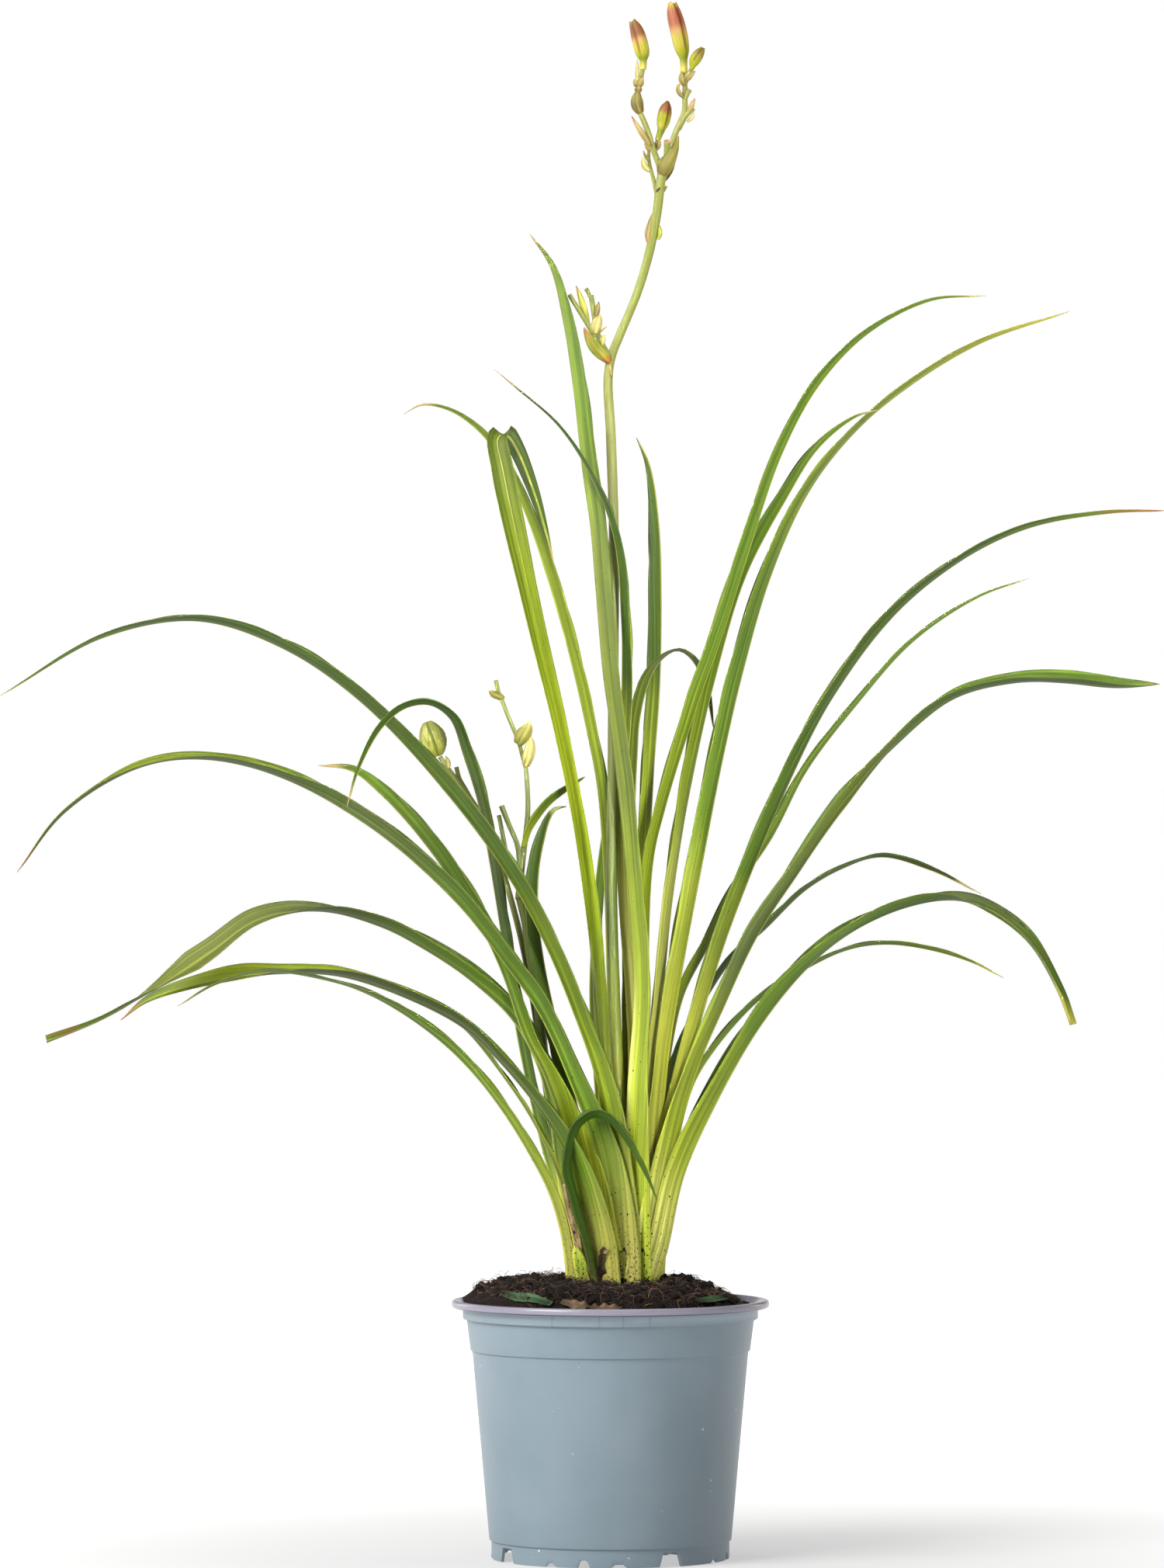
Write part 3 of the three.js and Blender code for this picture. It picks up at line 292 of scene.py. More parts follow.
drain_points, drain_faces = [], []
for hole in range(DRAIN_HOLES):
    middle = math.radians(360 / DRAIN_HOLES * hole + 15)
    first = len(drain_points)
    for z in (FLOOR_UNDERSIDE - 3, FLOOR_TOP + 3):
        for k in range(DRAIN_SIDES):
            turn = 2 * math.pi * k / DRAIN_SIDES
            drain_points.append((DRAIN_CIRCLE * math.cos(middle) + DRAIN_RADIUS * math.cos(turn),
                                 DRAIN_CIRCLE * math.sin(middle) + DRAIN_RADIUS * math.sin(turn), z))
    drain_faces += tube_faces(2, DRAIN_SIDES, first)
drains = add_object("drains", mesh_from("drains", drain_points, drain_faces))
cut = uncut.modifiers.new("drain_holes", "BOOLEAN")
cut.operation = "DIFFERENCE"
cut.object = drains
bpy.context.view_layer.update()
pot_mesh = bpy.data.meshes.new_from_object(uncut.evaluated_get(bpy.context.evaluated_depsgraph_get()))
bpy.data.objects.remove(uncut)
bpy.data.objects.remove(drains)

# Moulded polypropylene: satin, IOR 1.49, with a fine moulded grain and pale specks of dust. Its lip is
# smoother and a little more lilac than the rest, with a painted shadow line along its foot; the collar
# under it is painted paler, as painted light against the lip's shade.
POT_BLUE = "#77868F"
POT_SHADE = "#6F7F88"
COLLAR_PAINTED_LIGHT = "#87969E"
LIP_LILAC = "#827E8B"
LIP_SHADOW = "#33355A"
MOULD_LINE = "#59656D"
DUST = "#B9C0C2"
COLLAR_FADE = (0.1275, 0.131)
LIP_HEIGHT = 0.1342
LIP_FADE = (0.1336, LIP_HEIGHT)
SHADOW_HALF = (0.0005, 0.0003)
# Four fine upright lines of the mould show on the collar, at these bearings from the front.
LINE_BEARINGS = (-23.1, -4.4, 4.7, 15.1)
LINE_HALF = (0.006, 0.003)
LINE_FOOT = (0.1265, 0.128)
LINE_TOP = (0.134, 0.1335)
plastic, add = new_material("moulded_polypropylene")
place = add("TexCoord").outputs["Object"]
sides = add("SeparateXYZ", (place,)).outputs
up = sides["Z"]
cloudy = add("TexNoise", (place, 22, 5))
body = add("ValToRGB", (cloudy,), stops=[(0.35, POT_SHADE), (0.65, POT_BLUE)])
# Painted light: the collar is painted paler, to lift the shade that the lip casts on it.
at_collar = add("MapRange", (up, *COLLAR_FADE))
body = add("Mix", (at_collar, body, COLLAR_PAINTED_LIGHT), data_type="RGBA")
at_lip = add("MapRange", (up, *LIP_FADE))
tinted = add("Mix", (at_lip, body, LIP_LILAC), data_type="RGBA")
specks = add("TexVoronoi", (place, 170))
rare = add("TexNoise", (place, 61, 1))
near = add("MapRange", (specks, 0.13, 0.09))
seldom = add("MapRange", (rare, 0.62, 0.66))
dusty = add("Math", (near, seldom), operation="MULTIPLY")
tinted = add("Mix", (dusty, tinted, DUST), data_type="RGBA")
# A painted shadow: a thin dark line along the foot of the lip.
under_lip = add("Math", (up, LIP_HEIGHT), operation="SUBTRACT")
under_lip = add("Math", (under_lip,), operation="ABSOLUTE")
under_lip = add("MapRange", (under_lip, *SHADOW_HALF, 0, 0.8))
tinted = add("Mix", (under_lip, tinted, LIP_SHADOW), data_type="RGBA")
behind = add("Math", (sides["Y"], -1), operation="MULTIPLY")
bearing = add("Math", (sides["X"], behind), operation="ARCTAN2")
on_collar = add("MapRange", (up, *LINE_FOOT))
below_lip = add("MapRange", (up, *LINE_TOP, 0, 0.45))
on_collar = add("Math", (on_collar, below_lip), operation="MULTIPLY")
for degrees in LINE_BEARINGS:
    off = add("Math", (bearing, math.radians(degrees)), operation="SUBTRACT")
    off = add("Math", (off,), operation="ABSOLUTE")
    line = add("MapRange", (off, *LINE_HALF))
    line = add("Math", (line, on_collar), operation="MULTIPLY")
    tinted = add("Mix", (line, tinted, MOULD_LINE), data_type="RGBA")
grain = add("TexNoise", (place, 2600, 2))
soft = add("TexNoise", (place, 30, 2))
uneven = add("Bump", {"Height": soft, "Distance": 0.6 * MM, "Strength": 0.25})
relief = add("Bump", {"Height": grain, "Distance": 0.05 * MM, "Strength": 0.5, "Normal": uneven})
sheen = add("MapRange", (cloudy, 0, 1, 0.34, 0.46))
polish = add("Mix", (at_lip, sheen, 0.2))
shader = add("BsdfPrincipled", {"Base Color": tinted, "Roughness": polish, "IOR": 1.49, "Normal": relief})
add("OutputMaterial", (shader,))


def add_piece(name, mesh, material, solid=None):
    """A piece that rides on the plant's one body, stands for a solid and takes the material it is given."""
    mesh.materials.clear()
    mesh.materials.append(material)
    piece = add_object(name, mesh)
    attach(piece, "root")
    if solid:
        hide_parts(solid)


add_piece("nursery_pot", pot_mesh, plastic, "pot")

# ---- Peat --------------------------------------------------------------------------------------------
# Damp fibrous peat, pressed in round the roots and heaped against the stems. It is dark brown, crumbly and
# full of paler root and moss fibres.

SOIL_RADIUS = 75.2
SOIL_EDGE_RIGHT = 131
SOIL_EDGE_LEFT = 139
SOIL_TOP = 148
CROWN_TOP = 142
SEAT = CROWN_TOP + 0.3
PEAT_GAP = 0.3
PEAT_DARK = "#0E0908"
PEAT_MID = "#18100C"
PEAT_LIGHT = "#31221A"
FIBRE_LIGHT = "#8A6849"
PEAT_PAINTED_RIM_SHADE = "#0A0906"
RIM_SHADE_RADIUS = 65
FIBRES = 4200
FIBRE_POINTS = 6
CRUMBS = 1500
CRUMB_SIDES = 6
CRUMB_RINGS = 5


def smoothstep(x, low, high):
    """0 below low, 1 above high, and a soft step between them."""
    s = np.clip((x - low) / (high - low), 0, 1)
    return s * s * (3 - 2 * s)


def spill(x, y):
    """How much further out the heap's points lie on the left, where the peat spills over the lip."""
    r = max(math.hypot(x, y), 1)
    return 1 + 0.055 * smoothstep(-x / r, 0.5, 0.95) * smoothstep(r, 60, SOIL_RADIUS)


def soil_height(x, y):
    """The heap's height: high round the stems and on the left, falling sooner on the right."""
    x, y = x / spill(x, y), y / spill(x, y)
    r = max(math.hypot(x, y), 1)
    left = smoothstep(-x / r, 0, 0.9)
    edge = SOIL_EDGE_RIGHT + (SOIL_EDGE_LEFT - SOIL_EDGE_RIGHT) * left
    heap = max(0, 1 - (r / SOIL_RADIUS) ** (3.6 + 2.4 * left))
    lumps = math.sin(0.21 * x + 0.9) * math.sin(0.26 * y + 0.4) + 0.6 * math.sin(0.47 * x - 0.31 * y)
    mound = 3.5 * math.exp(-((x - 42) ** 2 + (y + 4) ** 2) / 70)
    dip = 2.2 * math.exp(-((x - 6) / 20) ** 2 - ((y + 24) / 10) ** 2)
    return edge + (SOIL_TOP - edge) * heap + 0.9 * lumps * min(1, 3 * heap) + mound - dip


def crumbled_height(x, y):
    """The heap's height with its clods and crumbs, from 8 mm across down to 1.5 mm."""
    r = math.hypot(x, y)
    rough = min(1, max(0, (SOIL_RADIUS + 1 - r) / 8))
    clods = noise.noise(Vector((x, y, 3)) / 8)
    crumbs = noise.noise(Vector((x, y, 9)) / 3.2)
    bits = noise.noise(Vector((x, y, 17)) / 1.5)
    return soil_height(x, y) + rough * (1.3 * clods + 0.9 * crumbs + 0.5 * bits)


SOIL_SEGMENTS = 300
SOIL_ROWS = 96
rows = [(0, FLOOR_TOP + PEAT_GAP), (WALL_BOTTOM_RADIUS - WALL - PEAT_GAP, FLOOR_TOP + PEAT_GAP),
        (WALL_TOP_RADIUS - WALL - PEAT_GAP, SHOULDER_Z - 2), (75, COLLAR_BOTTOM - 1.3)]
rows += [(SOIL_RADIUS * (1 - k / SOIL_ROWS), SOIL_TOP) for k in range(SOIL_ROWS + 1)]
soil_points, soil_faces = lathe(rows, SOIL_SEGMENTS)
for point in soil_points:
    if point[2] == SOIL_TOP:
        point[:2] *= spill(point[0], point[1])
        point[2] = crumbled_height(point[0], point[1])
heap_mesh = mesh_from("peat_heap", soil_points, soil_faces)

# Peat has no gloss. Its colour changes from crumb to crumb, and near the rim it is painted almost black, a
# painted shadow of the lip and inner wall.
peat, add = new_material("fibrous_peat")
place = add("TexCoord").outputs["Object"]
crumb = add("TexNoise", (place, 420, 6, 0.7))
shade = add("ValToRGB", (crumb,), stops=[(0.32, PEAT_DARK), (0.5, PEAT_MID), (0.72, PEAT_LIGHT)])
flat_place = add("VectorMath", (place, (1, 1, 0)), operation="MULTIPLY")
from_axis = add("VectorMath", (flat_place,), operation="LENGTH")
leftward = add("SeparateXYZ", (place,)).outputs["X"]
leftward = add("Math", (leftward, 0), operation="MINIMUM")
leftward = add("Math", (leftward, 0.28), operation="MULTIPLY")
from_axis = add("Math", (from_axis, leftward), operation="ADD")
# Painted shade: a near-black band by the rim, which starts further out on the left where the peat spills.
rim_shade = add("MapRange", (from_axis, (RIM_SHADE_RADIUS - 3) * MM, (RIM_SHADE_RADIUS + 3) * MM, 0, 0.85))
shade = add("Mix", (rim_shade, shade, PEAT_PAINTED_RIM_SHADE), data_type="RGBA")
fine = add("TexNoise", (place, 1400, 4))
relief = add("Bump", {"Height": fine, "Distance": 0.7 * MM, "Strength": 0.9})
shader = add("BsdfPrincipled",
             {"Base Color": shade, "Roughness": 0.95, "Specular IOR Level": 0.2, "Normal": relief})
add("OutputMaterial", (shader,))
add_piece("peat_heap", heap_mesh, peat, "soil")


def add_attribute(mesh, name, values):
    """A vector for each of the mesh's points, for its material to read."""
    attribute = mesh.attributes.new(name, "FLOAT_VECTOR", "POINT")
    attribute.data.foreach_set("vector", np.asarray(values, np.float32).ravel())


# Fibres: fine curled threads that lie on the heap and stand a little out of it.
draw = random.Random(5)
points, faces, shades = [], [], []
for strand in range(FIBRES):
    radius, angle = SOIL_RADIUS * draw.random() ** 0.5 * 0.985, draw.uniform(0, 2 * math.pi)
    # Fibres in front stay inside the band of painted rim shade.
    in_front = math.sin(angle) < -0.6 and math.cos(angle) > -0.5
    if in_front:
        radius = min(radius, RIM_SHADE_RADIUS * draw.uniform(0.5, 1.0))
    x, y = radius * math.cos(angle), radius * math.sin(angle)
    heading, curl = draw.uniform(0, 2 * math.pi), draw.gauss(0, 0.5)
    step = draw.uniform(0.8, 3.0)
    thick = draw.uniform(0.09, 0.22)
    rise = draw.uniform(-0.3, 1.5) + (1 if draw.random() < 0.05 else 0)
    tone = draw.random()
    first = len(points)
    for k in range(FIBRE_POINTS):
        t = k / (FIBRE_POINTS - 1)
        lift = 0.2 + rise * math.sin(math.pi * t) * step
        z = soil_height(x, y) + lift + 0.6 * noise.noise(Vector((x, y, strand)) / 3)
        r = thick * (1 - 0.12 * k)
        across = (-math.sin(heading), math.cos(heading))
        points += [(x + across[0] * r, y + across[1] * r, z), (x - across[0] * r, y - across[1] * r, z),
                   (x, y, z + 1.6 * r)]
        shades += [(tone, t, 0)] * 3
        x, y = x + step * math.cos(heading), y + step * math.sin(heading)
        if math.hypot(x, y) > SOIL_RADIUS - 1:
            x, y = x * 0.97, y * 0.97
        heading += curl + draw.gauss(0, 0.35)
    faces += tube_faces(FIBRE_POINTS, 3, first)
fibre_mesh = mesh_from("peat_fibres", points, faces)
add_attribute(fibre_mesh, "shade", shades)

fibre, add = new_material("moss_fibre")
tone = add("Attribute", attribute_name="shade").outputs["Vector"]
tone = add("SeparateXYZ", (tone,)).outputs["X"]
shade = add("ValToRGB", (tone,),
            stops=[(0, PEAT_DARK), (0.45, PEAT_MID), (0.75, PEAT_LIGHT), (1, FIBRE_LIGHT)])
shader = add("BsdfPrincipled", {"Base Color": shade, "Roughness": 0.8})
add("OutputMaterial", (shader,))
add_piece("peat_fibres", fibre_mesh, fibre)

# Crumbs: loose grains and small clods on top of the heap.
points, faces = [], []
for grain in range(CRUMBS):
    radius, angle = SOIL_RADIUS * draw.random() ** 0.5 * 0.97, draw.uniform(0, 2 * math.pi)
    x, y = radius * math.cos(angle), radius * math.sin(angle)
    size = 0.5 + 2.6 * draw.random() ** 3
    squash = draw.uniform(0.6, 1.0)
    z = soil_height(x, y) + 0.5 * size
    first = len(points)
    for ring in range(CRUMB_RINGS):
        tilt = math.pi * (0.08 + 0.84 * ring / (CRUMB_RINGS - 1))
        for k in range(CRUMB_SIDES):
            turn = 2 * math.pi * k / CRUMB_SIDES
            r = size * draw.uniform(0.7, 1.15)
            points.append((x + r * math.sin(tilt) * math.cos(turn), y + r * math.sin(tilt) * math.sin(turn),
                           z - r * squash * math.cos(tilt)))
    faces += tube_faces(CRUMB_RINGS, CRUMB_SIDES, first)
add_piece("peat_crumbs", mesh_from("peat_crumbs", points, faces, smooth=False), peat)

# ---- Root crown --------------------------------------------------------------------------------------
# The short woody stock under the peat that carries every leaf and stem. It keeps its own solid, with a
# pale brown corky skin.

CORK_DARK = "#5E4A33"
CORK_PALE = "#9A8058"
corky, add = new_material("corky_root_skin")
place = add("TexCoord").outputs["Object"]
scales = add("TexNoise", (place, 300, 5))
shade = add("ValToRGB", (scales,), stops=[(0.35, CORK_DARK), (0.65, CORK_PALE)])
relief = add("Bump", {"Height": scales, "Distance": 0.5 * MM, "Strength": 0.8})
shader = add("BsdfPrincipled", {"Base Color": shade, "Roughness": 0.85, "Normal": relief})
add("OutputMaterial", (shader,))
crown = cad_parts["root_crown"].data
crown.materials.clear()
crown.materials.append(corky)

# ---- Strap leaves ------------------------------------------------------------------------------------
# Living leaf blades, each grown as one strap that is folded lengthwise into a keel. The upper face is fresh
# and bright, the underside greyer. Fine parallel veins run from the fleshy pale base to the thin tip.

RIGHT, BACK, LEFT, FRONT = 0, 90, 180, 270
BLADE_MIDDLE = 0.6
BLADE_EDGE = 0.34
FLESHY_BASE = 1.7
FLESHY_LENGTH = 80
BASE_FLARE = 0.8
FLARE_LENGTH = 140
BASE_WIDTH_SHARE = 0.66
TAPER = 3.2
STATION_SPACING = 3.2
HALF_SECTION = (0.05, 0.12, 0.25, 0.4, 0.56, 0.72, 0.86, 0.95, 1.0)

# Leaf colours, from the pale base that light never reached to the dry tip. The palest base stops are partly
# painted light, brighter than the leaf, for the shade inside the fan.
CREAM = "#F0EA88"
PALE = "#DEDB5E"
LIME = "#A8B42E"
FRESH = "#849424"
GRASS = "#678221"
MID = "#567022"
MOSS = "#4A611F"
DEEP = "#3D581B"
OLIVE = "#616F20"
VIVID = "#426404"
HUSK = "#ABA351"
SAGE = "#7F863F"
GREYISH = "#5F6D3C"
SLATE = "#4A5235"
STRAW = "#A8925A"
YELLOW = "#A5A03C"
RUST = "#8A5A30"
# What the veins and the broader bands of a blade leave of its colour, and the distances along a blade over
# which its foot is painted brighter, as painted light for the shaded fan base.
VEIN_STOPS = [(0.3, "#AEB39C"), (0.5, "#DADCCB"), (0.68, "#FFFFF4")]
BAND_STOPS = [(0.36, "#B2B998"), (0.6, WHITE)]
FOOT_PAINTED_LIGHT_SPAN = (110, 260)
NO_PEAT = -3


def along(values, t):
    """Reads a list of values, spread evenly from 0 to 1, at t."""
    return np.interp(t, np.linspace(0, 1, len(values)), values) if len(values) > 1 else values[0] + 0 * t


def smooth_line(points, spacing):
    """Places, directions and distances at even steps on a centripetal Catmull-Rom curve through points."""
    p = np.array(points, float)
    p = np.vstack([2 * p[0] - p[1], p, 2 * p[-1] - p[-2]])
    s = np.linspace(0, 1, 40, endpoint=False)[:, None]
    curve = []
    for a, b, c, d in zip(p, p[1:], p[2:], p[3:]):
        ab, bc, cd = (np.linalg.norm(v) ** 0.5 for v in (b - a, c - b, d - c))
        leave = ((b - a) / ab - (c - a) / (ab + bc) + (c - b) / bc) * bc
        reach = ((c - b) / bc - (d - b) / (bc + cd) + (d - c) / cd) * bc
        curve.append((2 * s ** 3 - 3 * s ** 2 + 1) * b + (s ** 3 - 2 * s ** 2 + s) * leave
                     + (3 * s ** 2 - 2 * s ** 3) * c + (s ** 3 - s ** 2) * reach)
    curve = np.vstack(curve + [p[-2:-1]])
    gone = np.concatenate([[0], np.cumsum(np.linalg.norm(np.diff(curve, axis=0), axis=1))])
    even = np.linspace(0, gone[-1], max(4, round(gone[-1] / spacing)) + 1)
    places = np.stack([np.interp(even, gone, curve[:, k]) for k in range(3)], 1)
    ways = np.gradient(places, axis=0)
    return places, ways / np.linalg.norm(ways, axis=1)[:, None], even


def upright(points):
    """A line that stands on the crown leaves it straight up."""
    x, y, z = points[0]
    return [points[0], (x, y, z + SOIL_TOP - CROWN_TOP), *points[1:]] if z == SEAT else points


def strap_width(t, taper=TAPER):
    """A strap leaf's width: narrower at its foot, even, then running out to the tip."""
    root = BASE_WIDTH_SHARE + (1 - BASE_WIDTH_SHARE) * smoothstep(t, 0, 0.35)
    return root * np.maximum(1 - np.clip((t - 0.5) / 0.5, 0, 1) ** taper, 0)


def unit(v):
    return v / np.linalg.norm(v, axis=1)[:, None]


def blade_mesh(name, leans, half_width, line, fold, turn=(0,), wave=0.35, waves=7, taper=TAPER,
               width_at=None, spacing=STATION_SPACING, thickness=(BLADE_MIDDLE, BLADE_EDGE),
               fleshy=FLESHY_BASE, bow=0.05, flare=BASE_FLARE):
    """A keeled blade along a line. The fold is half the angle between its halves and the turn its twist, in
    degrees. It keeps the attributes grain, a point's place in the flat blade in mm, and share: how near it
    is to an edge, how far it is along the blade, and 0 on the upper face or 1 below."""
    middle, way, gone = smooth_line(upright(line), spacing)
    t = gone / gone[-1]
    lean = math.radians(leans)
    across = np.array([math.sin(lean), -math.cos(lean), 0])
    front = -1 if math.cos(lean) < -0.01 else 1
    side = unit(across - (way @ across)[:, None] * way)
    inward = unit(np.cross(side, way))
    twist = np.radians(along(turn, t))[:, None]
    up = unit(inward * np.cos(twist) + side * front * np.sin(twist))
    wide = unit(np.cross(up, way))
    half = np.radians(along(fold, t))
    shape = width_at(t) if width_at else strap_width(t, taper)
    width = np.maximum(half_width * shape, 0.25)
    seed = sum(map(ord, name)) % 97
    flutter = np.array([noise.noise(Vector((g / 26, seed, 0))) for g in gone])
    ripple = wave * np.sin(2 * math.pi * waves * t) * np.minimum(1, 3 * t) * width / half_width
    ripple = ripple + 0.5 * flutter * width / half_width
    keel = middle - up * (width * np.cos(half) / 2)[:, None]
    rooted = line[0][2] == SEAT
    width = width * (1 + flare * rooted * (1 - smoothstep(gone, 0, FLARE_LENGTH)))
    flesh = fleshy * rooted * (1 - smoothstep(gone, 0, FLESHY_LENGTH))
    upper, under = [], []
    for sign in (-1, 0, 1):
        slant = up * np.cos(half)[:, None] + wide * (sign * np.sin(half))[:, None]
        level = up * np.sin(half)[:, None] - wide * (sign * np.cos(half))[:, None] if sign else up
        places = HALF_SECTION[::-1] if sign < 0 else HALF_SECTION if sign > 0 else (0,)
        for s in places:
            thick = thickness[0] + (thickness[1] - thickness[0]) * s + flesh * (1 - s * s)
            thick = np.minimum(thick, 0.8 * width)
            sag = bow * width * math.sin(math.pi * s)
            at = keel + slant * (s * width)[:, None] + up * (sign * ripple * s)[:, None]
            at = at - level * sag[:, None]
            rise = (thick * (1 if sign else 1.25) / 2 * (0 if s == 1 else 1))[:, None]
            for rows, out, below in ((upper, 1, 0), (under, -1, 1)):
                in_blade = np.stack([sign * s * width, 0 * t + 9 * below, gone], 1)
                shares = np.stack([0 * t + s, t, 0 * t + below], 1)
                rows.append((at + out * level * rise, in_blade, shares))
    ring = upper + under[-2:0:-1]
    points, grain, share = (np.stack(rows, 1).reshape(-1, 3) for rows in zip(*ring))
    mesh = mesh_from(name, points, tube_faces(len(t), len(ring)))
    add_attribute(mesh, "grain", grain)
    add_attribute(mesh, "share", share)
    return mesh


def even_stops(colours):
    """Colour stops that are spread evenly from 0 to 1."""
    return [(k / (len(colours) - 1), colour) for k, colour in enumerate(colours)]


def stretched_noise(add, place, stretch, detail, roughness=0.5):
    """Noise that is drawn out along a place's axes. The stretch is the number of its clouds in one unit."""
    place = add("VectorMath", (place, stretch), operation="MULTIPLY")
    return add("TexNoise", (place, 1, detail, roughness))


def leaf_blade(name, upper, under, tip=STRAW, dry=0.015, dirty=0.5, rib=PALE, rib_width=0.75,
               rib_shares=(0.3, 0.3), foot_painted_light=1.36):
    """Living leaf: satin, IOR 1.42, with veins 0.9 mm apart, a pale midrib and pale thin edges. The lists
    give its colours from base to tip, dry is the share of it that has dried, dirty the peat on its foot
    and foot_painted_light how much brighter its foot is painted, as painted light for the shade in the
    fan's base. The rib's shares are those at the foot and further up."""
    material, add = new_material(name)
    grain = add("Attribute", attribute_name="grain").outputs["Vector"]
    share = add("Attribute", attribute_name="share").outputs["Vector"]
    share = add("SeparateXYZ", (share,)).outputs
    cloudy = stretched_noise(add, grain, (0.05, 1, 0.016), 3)
    drift = add("MapRange", (cloudy, 0.3, 0.7, -0.05, 0.05))
    place = add("Math", (share["Y"], drift), operation="ADD")
    above = add("ValToRGB", (place,), stops=even_stops(upper))
    below = add("ValToRGB", (place,), stops=even_stops(under))
    tissue = add("Mix", (share["Z"], above, below), data_type="RGBA")

    veins = stretched_noise(add, grain, (1.1, 1, 0.012), 4, 0.65)
    bands = stretched_noise(add, grain, (0.42, 1, 0.003), 1)
    for pattern, stops, strength in ((veins, VEIN_STOPS, 1), (bands, BAND_STOPS, 0.9)):
        pattern = add("ValToRGB", (pattern,), stops=stops)
        tissue = add("Mix", (strength, tissue, pattern), data_type="RGBA", blend_type="MULTIPLY")
    off_rib = add("SeparateXYZ", (grain,)).outputs
    foot = off_rib["Z"]
    off_rib = add("Math", (off_rib["X"],), operation="ABSOLUTE")
    ribbed = add("MapRange", (off_rib, rib_width, rib_width / 3))
    rib_here = add("MapRange", (foot, 110, 180, *rib_shares))
    ribbed = add("Math", (ribbed, rib_here), operation="MULTIPLY")
    rim = add("MapRange", (share["X"], 0.94, 0.99, 0, 0.08))
    dried = add("MapRange", (place, 0.99 - 1.3 * dry, 1 - 0.3 * dry))
    for spread, colour in ((ribbed, rib), (rim, CREAM), (dried, tip)):
        tissue = add("Mix", (spread, tissue, colour), data_type="RGBA")
    # Painted light: the foot is scaled brighter, to lift the shade inside the fan's base.
    pale = add("MapRange", (foot, *FOOT_PAINTED_LIGHT_SPAN, foot_painted_light, 1))
    tissue = add("VectorMath", (tissue, pale), operation="SCALE")

    # Peat on the foot: smears, and above them single crumbs.
    low = add("MapRange", (foot, 70, 4, 0.68, 0.68 - 0.16 * dirty))
    smears = stretched_noise(add, grain, (0.9, 1, 0.6), 3)
    smears = add("Math", (smears, low), operation="SUBTRACT")
    smears = add("MapRange", (smears, 0, 0.025))
    cells = add("VectorMath", (grain, (0.34, 1, 0.24)), operation="MULTIPLY")
    cells = add("TexVoronoi", (cells, 1)).outputs
    chosen = add("SeparateXYZ", (cells["Color"],)).outputs["X"]
    crumbs = add("MapRange", (foot, 10, 150, 0.3 * dirty, 0.02 * dirty))
    for operation, value in (("SUBTRACT", chosen), ("MULTIPLY", 0.9), ("ADD", 0.12),
                             ("SUBTRACT", cells["Distance"])):
        crumbs = add("Math", (crumbs, value), operation=operation)
    crumbs = add("MapRange", (crumbs, 0, 0.03))
    for spread in (smears, crumbs):
        tissue = add("Mix", (spread, tissue, PEAT_MID), data_type="RGBA")

    ridged = add("MapRange", (foot, 120, 350, 0.6, 0.1))
    relief = add("Bump", {"Height": veins, "Distance": 0.25 * MM, "Strength": ridged})
    gloss = add("MapRange", (veins, 0, 1, 0.46, 0.62))
    gloss = add("Math", (rim, 4.5, gloss), operation="MULTIPLY_ADD")
    shader = add("BsdfPrincipled",
                 {"Base Color": tissue, "Roughness": gloss, "IOR": 1.42, "Specular IOR Level": 0.35,
                  "Normal": relief})
    add("OutputMaterial", (shader,))
    return material


def grow_leaf(node, leans, half_width, upper, under, slot="leaf", look=None, **form):
    """One leaf: the blade that its form describes, in a material of its own."""
    mesh = blade_mesh(node, leans, half_width, **form)
    tissue = leaf_blade(node + "_tissue", upper, under, **(look or {}))
    add_piece(node + "_blade", mesh, tissue, node)


# Left-hand leaves, from the highest arch down to the lowest, and a small hooked one behind them.
grow_leaf(
    "leaf_left_high", LEFT, 10,
    upper=(LIME, GRASS, GRASS, MID, MID, MOSS), under=(HUSK, FRESH, MOSS, MOSS, MOSS, GRASS),
    line=[(4.6, -10, SEAT), (4.6, -11, 175), (-1.5, -13, 248), (-18, -15, 298), (-46, -15, 358),
          (-89, -10, 417), (-137, 3, 464.7), (-177.5, 14, 490.5), (-223, 26, 503.5), (-274, 38, 494),
          (-330, 50, 462)],
    fold=(30, 32, 40, 46, 40, 38, 52, 56, 67, 72, 66),
    width_at=lambda t: strap_width(t) * (1 + 0.2 * np.exp(-((t - 0.19) / 0.08) ** 2)), flare=1.6,
)
grow_leaf(
    "leaf_left_second", LEFT, 10,
    upper=(LIME, GRASS, MID, MID, FRESH, FRESH), under=(HUSK, GRASS, MID, GREYISH, MOSS, MOSS),
    look={"tip": RUST, "dry": 0.02, "dirty": 0.8},
    line=[(0.9, -10, SEAT), (0.7, -10, 170), (-4, -12, 215), (-20, -14, 261), (-35, -14, 294),
          (-53, -14, 320), (-80, -14, 354), (-125.4, -11, 393.4), (-173, -8, 419), (-216, -8, 428.7),
          (-252, -12, 423.8), (-291.5, -20, 399.3), (-316, -26, 367)],
    fold=(30, 32, 34, 38, 40, 40, 46, 64, 73, 72, 62),
    turn=(0, 0, 0, 0, 0, 0, 0, 6, 12, 6, 0),
    flare=2.2,
)
grow_leaf(
    "leaf_left_veined", LEFT, 9.6, slot="young_leaf",
    upper=(LIME, FRESH, GRASS, MID, MID), under=(PALE, LIME, GRASS, MID, GRASS),
    line=[(-9, 4, SEAT), (-11.5, 4, 175), (-19, 3, 217), (-32, 2, 258), (-44, 1, 282), (-55.7, 1, 316),
          (-68, 1, 342), (-84, 2, 367.5), (-103, 3, 392.4), (-121.6, 5, 411), (-138.4, 7, 422.6),
          (-157, 10, 424)],
    fold=(46, 50, 48, 46, 48, 50, 46, 36, 30, 28, 40),
    taper=4, flare=3.4,
)
